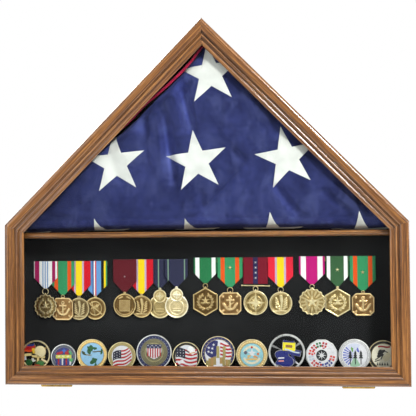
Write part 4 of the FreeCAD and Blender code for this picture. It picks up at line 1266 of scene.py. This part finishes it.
def half_hidden():
    return ("gold", 1.3, (24, 22, 18), 3.4, (255, 250, 224), [
        (land(-4, 4, 14, 8, 51, 0.5), (34, 32, 28), 0.3), (land(5, -2, 12, 12, 53), (246, 236, 196), 0.4),
        (bar(-9, -4, 9, 1.5, 35), (34, 32, 28), 0.4), (bar(-9.5, -7.5, 8, 1.4, 20), (34, 32, 28), 0.4),
        (bar(-2, -1.5, 9, 1.5, 60), (34, 32, 28), 0.45), (bar(3, 6.5, 8, 1.3, -25), (34, 32, 28), 0.45),
        (wave(-8, 10, 13.5, 2.4, 0.6), C_RED, 0.35)]
        + [(bar(19.6 * math.cos(a), 19.6 * math.sin(a), 2.8, 3.4, math.degrees(a)), (244, 228, 160), 0.4)
           for a in np.linspace(0.1, 2 * math.pi, 17)[:-1]]
        + [([(px - 1.6, -14.5), (px + 1.6, -14.5), (px, -9.5)], (40, 38, 32), 0.35)
           for px in (-9, -5.5, -2, 2, 6)])


COIN_DESIGNS = [coloured_patches, blue_columns, land_and_water, brass_flag, striped_shield, dark_flag,
                two_towers, pale_crest, open_shapes, ring_of_blocks, three_pines, half_hidden]


def pierced_coin(parts, r, rim, shapes):
    """An open ring with shapes cut right through, held by three spokes."""
    t = COIN_THICK
    inner = r - rim - 0.7
    front = [(inner, 0.9), (inner + 0.3, 0.35), (r - 1.2, 0.05), (r - 0.4, 0.12), (r, 0.5)]
    profile = front + [(reach, t - depth) for reach, depth in front[::-1]] + front[:1]
    lathe_disc(parts, profile, [0.4, 0.8, 1.0, 0.8, 0.5, 0.8, 1.0, 0.8, 0.4, 0.3])
    for points, colour, high_by in shapes:
        slab(parts, trimmed(points, inner + 0.4), 1.3 - high_by, t - 0.9, colour, PAINT)
        mid_x, mid_z = np.mean([p[0] for p in points]), np.mean([p[1] for p in points])
        edge = [(px + (px - mid_x) * 0.06, pz + (pz - mid_z) * 0.06) for px, pz in points]
        slab(parts, trimmed(edge, inner + 0.4), 1.42 - high_by, t - 0.8, (200, 200, 200), METAL)
    for a in (35, 155, 265):
        slab(parts, band(0.2, inner + 0.3, a - 4, a + 4), 1.5, t - 1.0, (160, 160, 160), METAL)


def solid_coin(parts, r, rim, ring_colour, ring_width, field, shapes, flat_sides):
    """A disc with a sunk face: an enamel ring, a field and shapes on it. Its back has a plain star."""
    t, deep = COIN_THICK, 0.5
    inner = r - rim
    groove = inner - ring_width
    profile = [(0.01, deep), (groove - 0.5, deep), (groove - 0.25, deep - 0.3), (groove, deep),
               (inner - 0.1, deep), (inner + 0.15, 0.1), (r - 0.9, 0.0), (r - 0.3, 0.1), (r, 0.45),
               (r, t - 0.45), (r - 0.3, t - 0.1), (r - 0.9, t), (inner, t - 0.1), (inner - 0.3, t - 0.45),
               (0.01, t - 0.45)]
    tones = [0.3, 0.7, 0.8, 0.3, 0.4, 0.9, 1.0, 0.7, 0.45, 0.7, 1.0, 0.9, 0.4, 0.4]
    lathe_disc(parts, profile, tones, flat_sides)
    core = groove - (0.6 if ring_width else 0.0)
    slab(parts, arc(0, 0, core - 0.1, steps=72), deep - 0.14, deep + 0.1, field, PAINT)
    if ring_colour:
        for a in range(0, 360, 15):
            sector = band(groove + 0.1, inner - 0.2, a - 0.02, a + 15.02)
            slab(parts, sector, deep - 0.12, deep + 0.1, ring_colour, PAINT)
        if sum(ring_colour) > PALE_RING:
            reach = inner - ring_width * 0.5
            for a in np.arange(36) * 2 * math.pi / 36:
                ball(parts, reach * math.cos(a), deep - 0.12, reach * math.sin(a), 0.55, (1, 0.5, 1), 0.9)
    for points, colour, high_by in shapes:
        limit = inner - 0.3 if math.hypot(*points[0]) > core + 0.6 else core - 0.3
        slab(parts, trimmed(points, limit), deep - 0.14 - 0.5 * high_by, deep + 0.05, colour, PAINT)
    slab(parts, star_points(0, 0, r * 0.5, 0), t - 0.6, t - 0.15, (200, 200, 200), METAL)


def coin(number, design, metals, enamel):
    """One coin, leaning back in the rack's groove in the place of its part in the drawing."""
    metal, rim, ring_colour, ring_width, field, shapes = design
    name = "coin_%02d" % number
    low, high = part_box(name)
    r = (high.x - low.x) / 2 / MM
    parts = Parts()
    if field is None:
        pierced_coin(parts, r, rim, shapes)
    else:
        solid_coin(parts, r, rim, ring_colour, ring_width, field, shapes, 12 if number == 10 else 0)
    middle = ((low.x + high.x) / 2 / MM, COIN_FRONT if number < 12 else LAST_COIN_FRONT, COIN_FOOT + r)
    pivot = Vector((0, COIN_FRONT + COIN_THICK, GROOVE_FLOOR))
    lean = (Matrix.Translation(pivot) @ Matrix.Rotation(-COIN_LEAN, 4, "X") @ Matrix.Translation(-pivot))
    parts.moved(lean @ Matrix.Translation(middle))
    made = parts.piece("coin_show_%02d" % number, [metals[metal], enamel], slot="coin", smooth=False)
    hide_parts(name)


# ---- Materials on the parts that the drawing makes ----
def dress(material, *names):
    for name in names:
        mesh = nodes[name].data
        mesh.materials.clear()
        mesh.materials.append(material)


def dress_case():
    across, upright = 0, 90
    rising = math.degrees(PITCH)
    falling = -rising
    members = {
        "bottom_board": (across, 3, 0.9), "flag_shelf": (across, 34, 1.1),
        "left_side_board": (upright, 5, 0.9), "right_side_board": (upright, 8, 0.9),
        "left_roof_board": (rising, 13, 0.95), "right_roof_board": (falling, 21, 0.95),
        "door_bottom_rail": (across, 55, 0.96), "door_left_stile": (upright, 89, 0.94),
        "door_right_stile": (upright, 144, 1.14), "door_left_rafter": (rising, 233, 1.0),
        "door_right_rafter": (falling, 377, 1.0), "glass_stops": (across, 610, 0.85)}
    for name, (turn, seed, tone) in members.items():
        dress(oak("oak_" + name, turn, seed, tone), name)
    dress(plywood(), "back_panel")
    dress(pile("black_velvet", (16, 17, 18), (32, 33, 34), 0.4), "medal_backer")
    dress(pile("black_felt", (12, 12, 13), (24, 24, 26), 0.15), "flag_liner")
    brass = metal("hinge_brass", (138, 104, 50), (206, 170, 92), 0.3, 300.0)
    dress(brass, "medal_bars", "hinge_case_screws", "hinge_door_screws")
    for side in ("left", "right"):
        dress(brass, side + "_hinge_case_leaf", side + "_hinge_door_leaf", side + "_hinge_pin")
    zinc = metal("zinc_steel", (138, 142, 146), (196, 199, 202), 0.34, 300.0, brushed=True)
    dress(zinc, "left_keyhole_plate", "right_keyhole_plate", "back_panel_screws", "hanger_screws",
          "stop_brads", "catch_strikes")
    dress(metal("nickel_magnet", (120, 122, 126), (172, 174, 178), 0.26, 220.0), "catch_magnets")
    dress(moulded("black_rubber", (20, 20, 21), (36, 36, 37), 0.7), "rear_bumpers")
    dress(moulded("clear_grey_bumper", (150, 152, 154), (186, 188, 190), 0.4), "door_bumpers")
    dress(moulded("black_stained_rail", (16, 16, 17), (30, 29, 28), 0.5), "hanging_rail", "coin_rack")
    dress(clear_glass(), "glass_pane")


def fill_case():
    flag = folded_flag(flag_cloth())
    flag_stars(flag, stitched("white_applique", (204, 206, 200), (224, 226, 220)))
    red_edge(stitched("red_bunting", (150, 16, 52), (200, 34, 78)))
    tape = painted("medal_ribbon", 0.72, 0.0, True, 0.94)
    metals = {
        "bronze": struck_metal("antique_bronze", (42, 30, 14), (130, 101, 58), (228, 204, 146)),
        "olive": struck_metal("dark_bronze", (40, 32, 18), (124, 104, 68), (216, 198, 150)),
        "copper": struck_metal("copper_bronze", (78, 50, 26), (178, 138, 86), (246, 220, 164)),
        "gold": struck_metal("soft_gold", (72, 56, 26), (184, 158, 100), (250, 236, 188)),
        "rubbed": struck_metal("rubbed_gold", (126, 102, 54), (214, 190, 130), (252, 240, 196)),
        "pale": struck_metal("pale_gold", (150, 126, 78), (240, 222, 172), (255, 250, 226), 0.42),
        "brass": struck_metal("worn_brass", (86, 72, 34), (186, 166, 106), (236, 222, 168)),
        "silver": struck_metal("antique_silver", (92, 92, 92), (186, 186, 184), (244, 244, 240)),
    }
    for group, (top, medals) in MEDALS.items():
        for k, medal in enumerate(medals, 1):
            ribbon("ribbon_%s%d" % (group, k), medal, top, tape, group)
            pendant("pendant_%s%d" % (group, k), medal, metals, group)
    enamel = painted("coin_enamel", 0.3, 0.5, False, 0.82)
    for number, design in enumerate(COIN_DESIGNS, 1):
        coin(number, design(), metals, enamel)


# ---- Camera, light and floor ----
LENS = 86.85
CAMERA_PLACE = (0.1586, -1.5413, 0.2308)
CAMERA_TURN = (5.748, 1.52, -0.522)        # yaw, pitch and roll in degrees
# Name, place, aim, size and watts of each lamp.
LAMPS = [("key", (1.2, -2.0, 1.6), (0, 0, 0.25), 0.5, 66), ("fill", (-1.7, -2.0, 0.9), (0, 0, 0.25), 1.6, 24),
         ("top", (0.1, -0.5, 2.2), (0, 0, 0.3), 0.9, 20), ("behind", (-1.2, 1.9, 1.3), (0, 0, 0.25), 1.2, 45),
         ("beside", (1.9, 0.9, 0.6), (0, 0, 0.25), 0.8, 14),
         ("streak", (1.7, -1.6, 2.2), (0.1, 0, 0.4), 0.35, 26)]
FLOOR_LEVEL = -0.62                        # low enough for the door to hang open above it


def make_camera():
    """The viewpoint: a little to the right of the middle, and low."""
    camera = bpy.data.objects.new("camera", bpy.data.cameras.new("camera"))
    bpy.context.scene.collection.objects.link(camera)
    camera.data.sensor_width = 36.0
    camera.data.lens = LENS
    camera.data.clip_start, camera.data.clip_end = 0.05, 30.0
    yaw, pitch, roll = (math.radians(a) for a in CAMERA_TURN)
    ahead = Vector((-math.sin(yaw) * math.cos(pitch), math.cos(yaw) * math.cos(pitch), math.sin(pitch)))
    level = Vector((math.cos(yaw), math.sin(yaw), 0))
    up = level.cross(ahead)
    right = level * math.cos(roll) + up * math.sin(roll)
    up = up * math.cos(roll) - level * math.sin(roll)
    turn = Matrix((right, up, -ahead)).transposed().to_4x4()
    camera.matrix_world = Matrix.Translation(CAMERA_PLACE) @ turn
    bpy.context.scene.camera = camera


def soft_light(name, place, aim, size, watts):
    data = bpy.data.lights.new(name, "AREA")
    data.shape = "SQUARE"
    data.size, data.energy = size, watts
    lamp = bpy.data.objects.new(name, data)
    lamp.location = place
    lamp.rotation_euler = (Vector(aim) - Vector(place)).to_track_quat("-Z", "Y").to_euler()
    bpy.context.scene.collection.objects.link(lamp)


def make_sky():
    """Even light, seen by the camera as plain white."""
    world = bpy.data.worlds.new("studio")
    bpy.context.scene.world = world
    world.use_nodes = True
    tree = world.node_tree
    plain, white = tree.nodes["Background"], tree.nodes.new("ShaderNodeBackground")
    for shade, colour, strength in ((plain, (0.8, 0.82, 0.85, 1), 0.5), (white, (1, 1, 1, 1), 1.0)):
        shade.inputs["Color"].default_value = colour
        shade.inputs["Strength"].default_value = strength
    path = tree.nodes.new("ShaderNodeLightPath")
    choose = tree.nodes.new("ShaderNodeMixShader")
    for number, output in enumerate((path.outputs["Is Camera Ray"], plain.outputs[0], white.outputs[0])):
        tree.links.new(output, choose.inputs[number])
    tree.links.new(choose.outputs[0], tree.nodes["World Output"].inputs["Surface"])


def make_floor():
    floor = bmesh.new()
    bmesh.ops.create_circle(floor, cap_ends=True, segments=96, radius=1.9)
    mesh = bpy.data.meshes.new("floor")
    floor.to_mesh(mesh)
    floor.free()
    made = bpy.data.objects.new("floor", mesh)
    made.location = (0, 0, FLOOR_LEVEL)
    paper = Finish("pale_paper", Roughness=0.9)
    mottle = paper.noise(paper.place((40, 40, 40)))
    paper.set(Base_Color=paper.ramp(mottle, (0.3, (232, 232, 230)), (0.7, (240, 240, 238))))
    mesh.materials.append(paper.material)
    bpy.context.scene.collection.objects.link(made)


dress_case()
fill_case()
make_camera()
bpy.context.scene.view_settings.view_transform = "Standard"
make_sky()
for lamp in LAMPS:
    soft_light(*lamp)
make_floor()
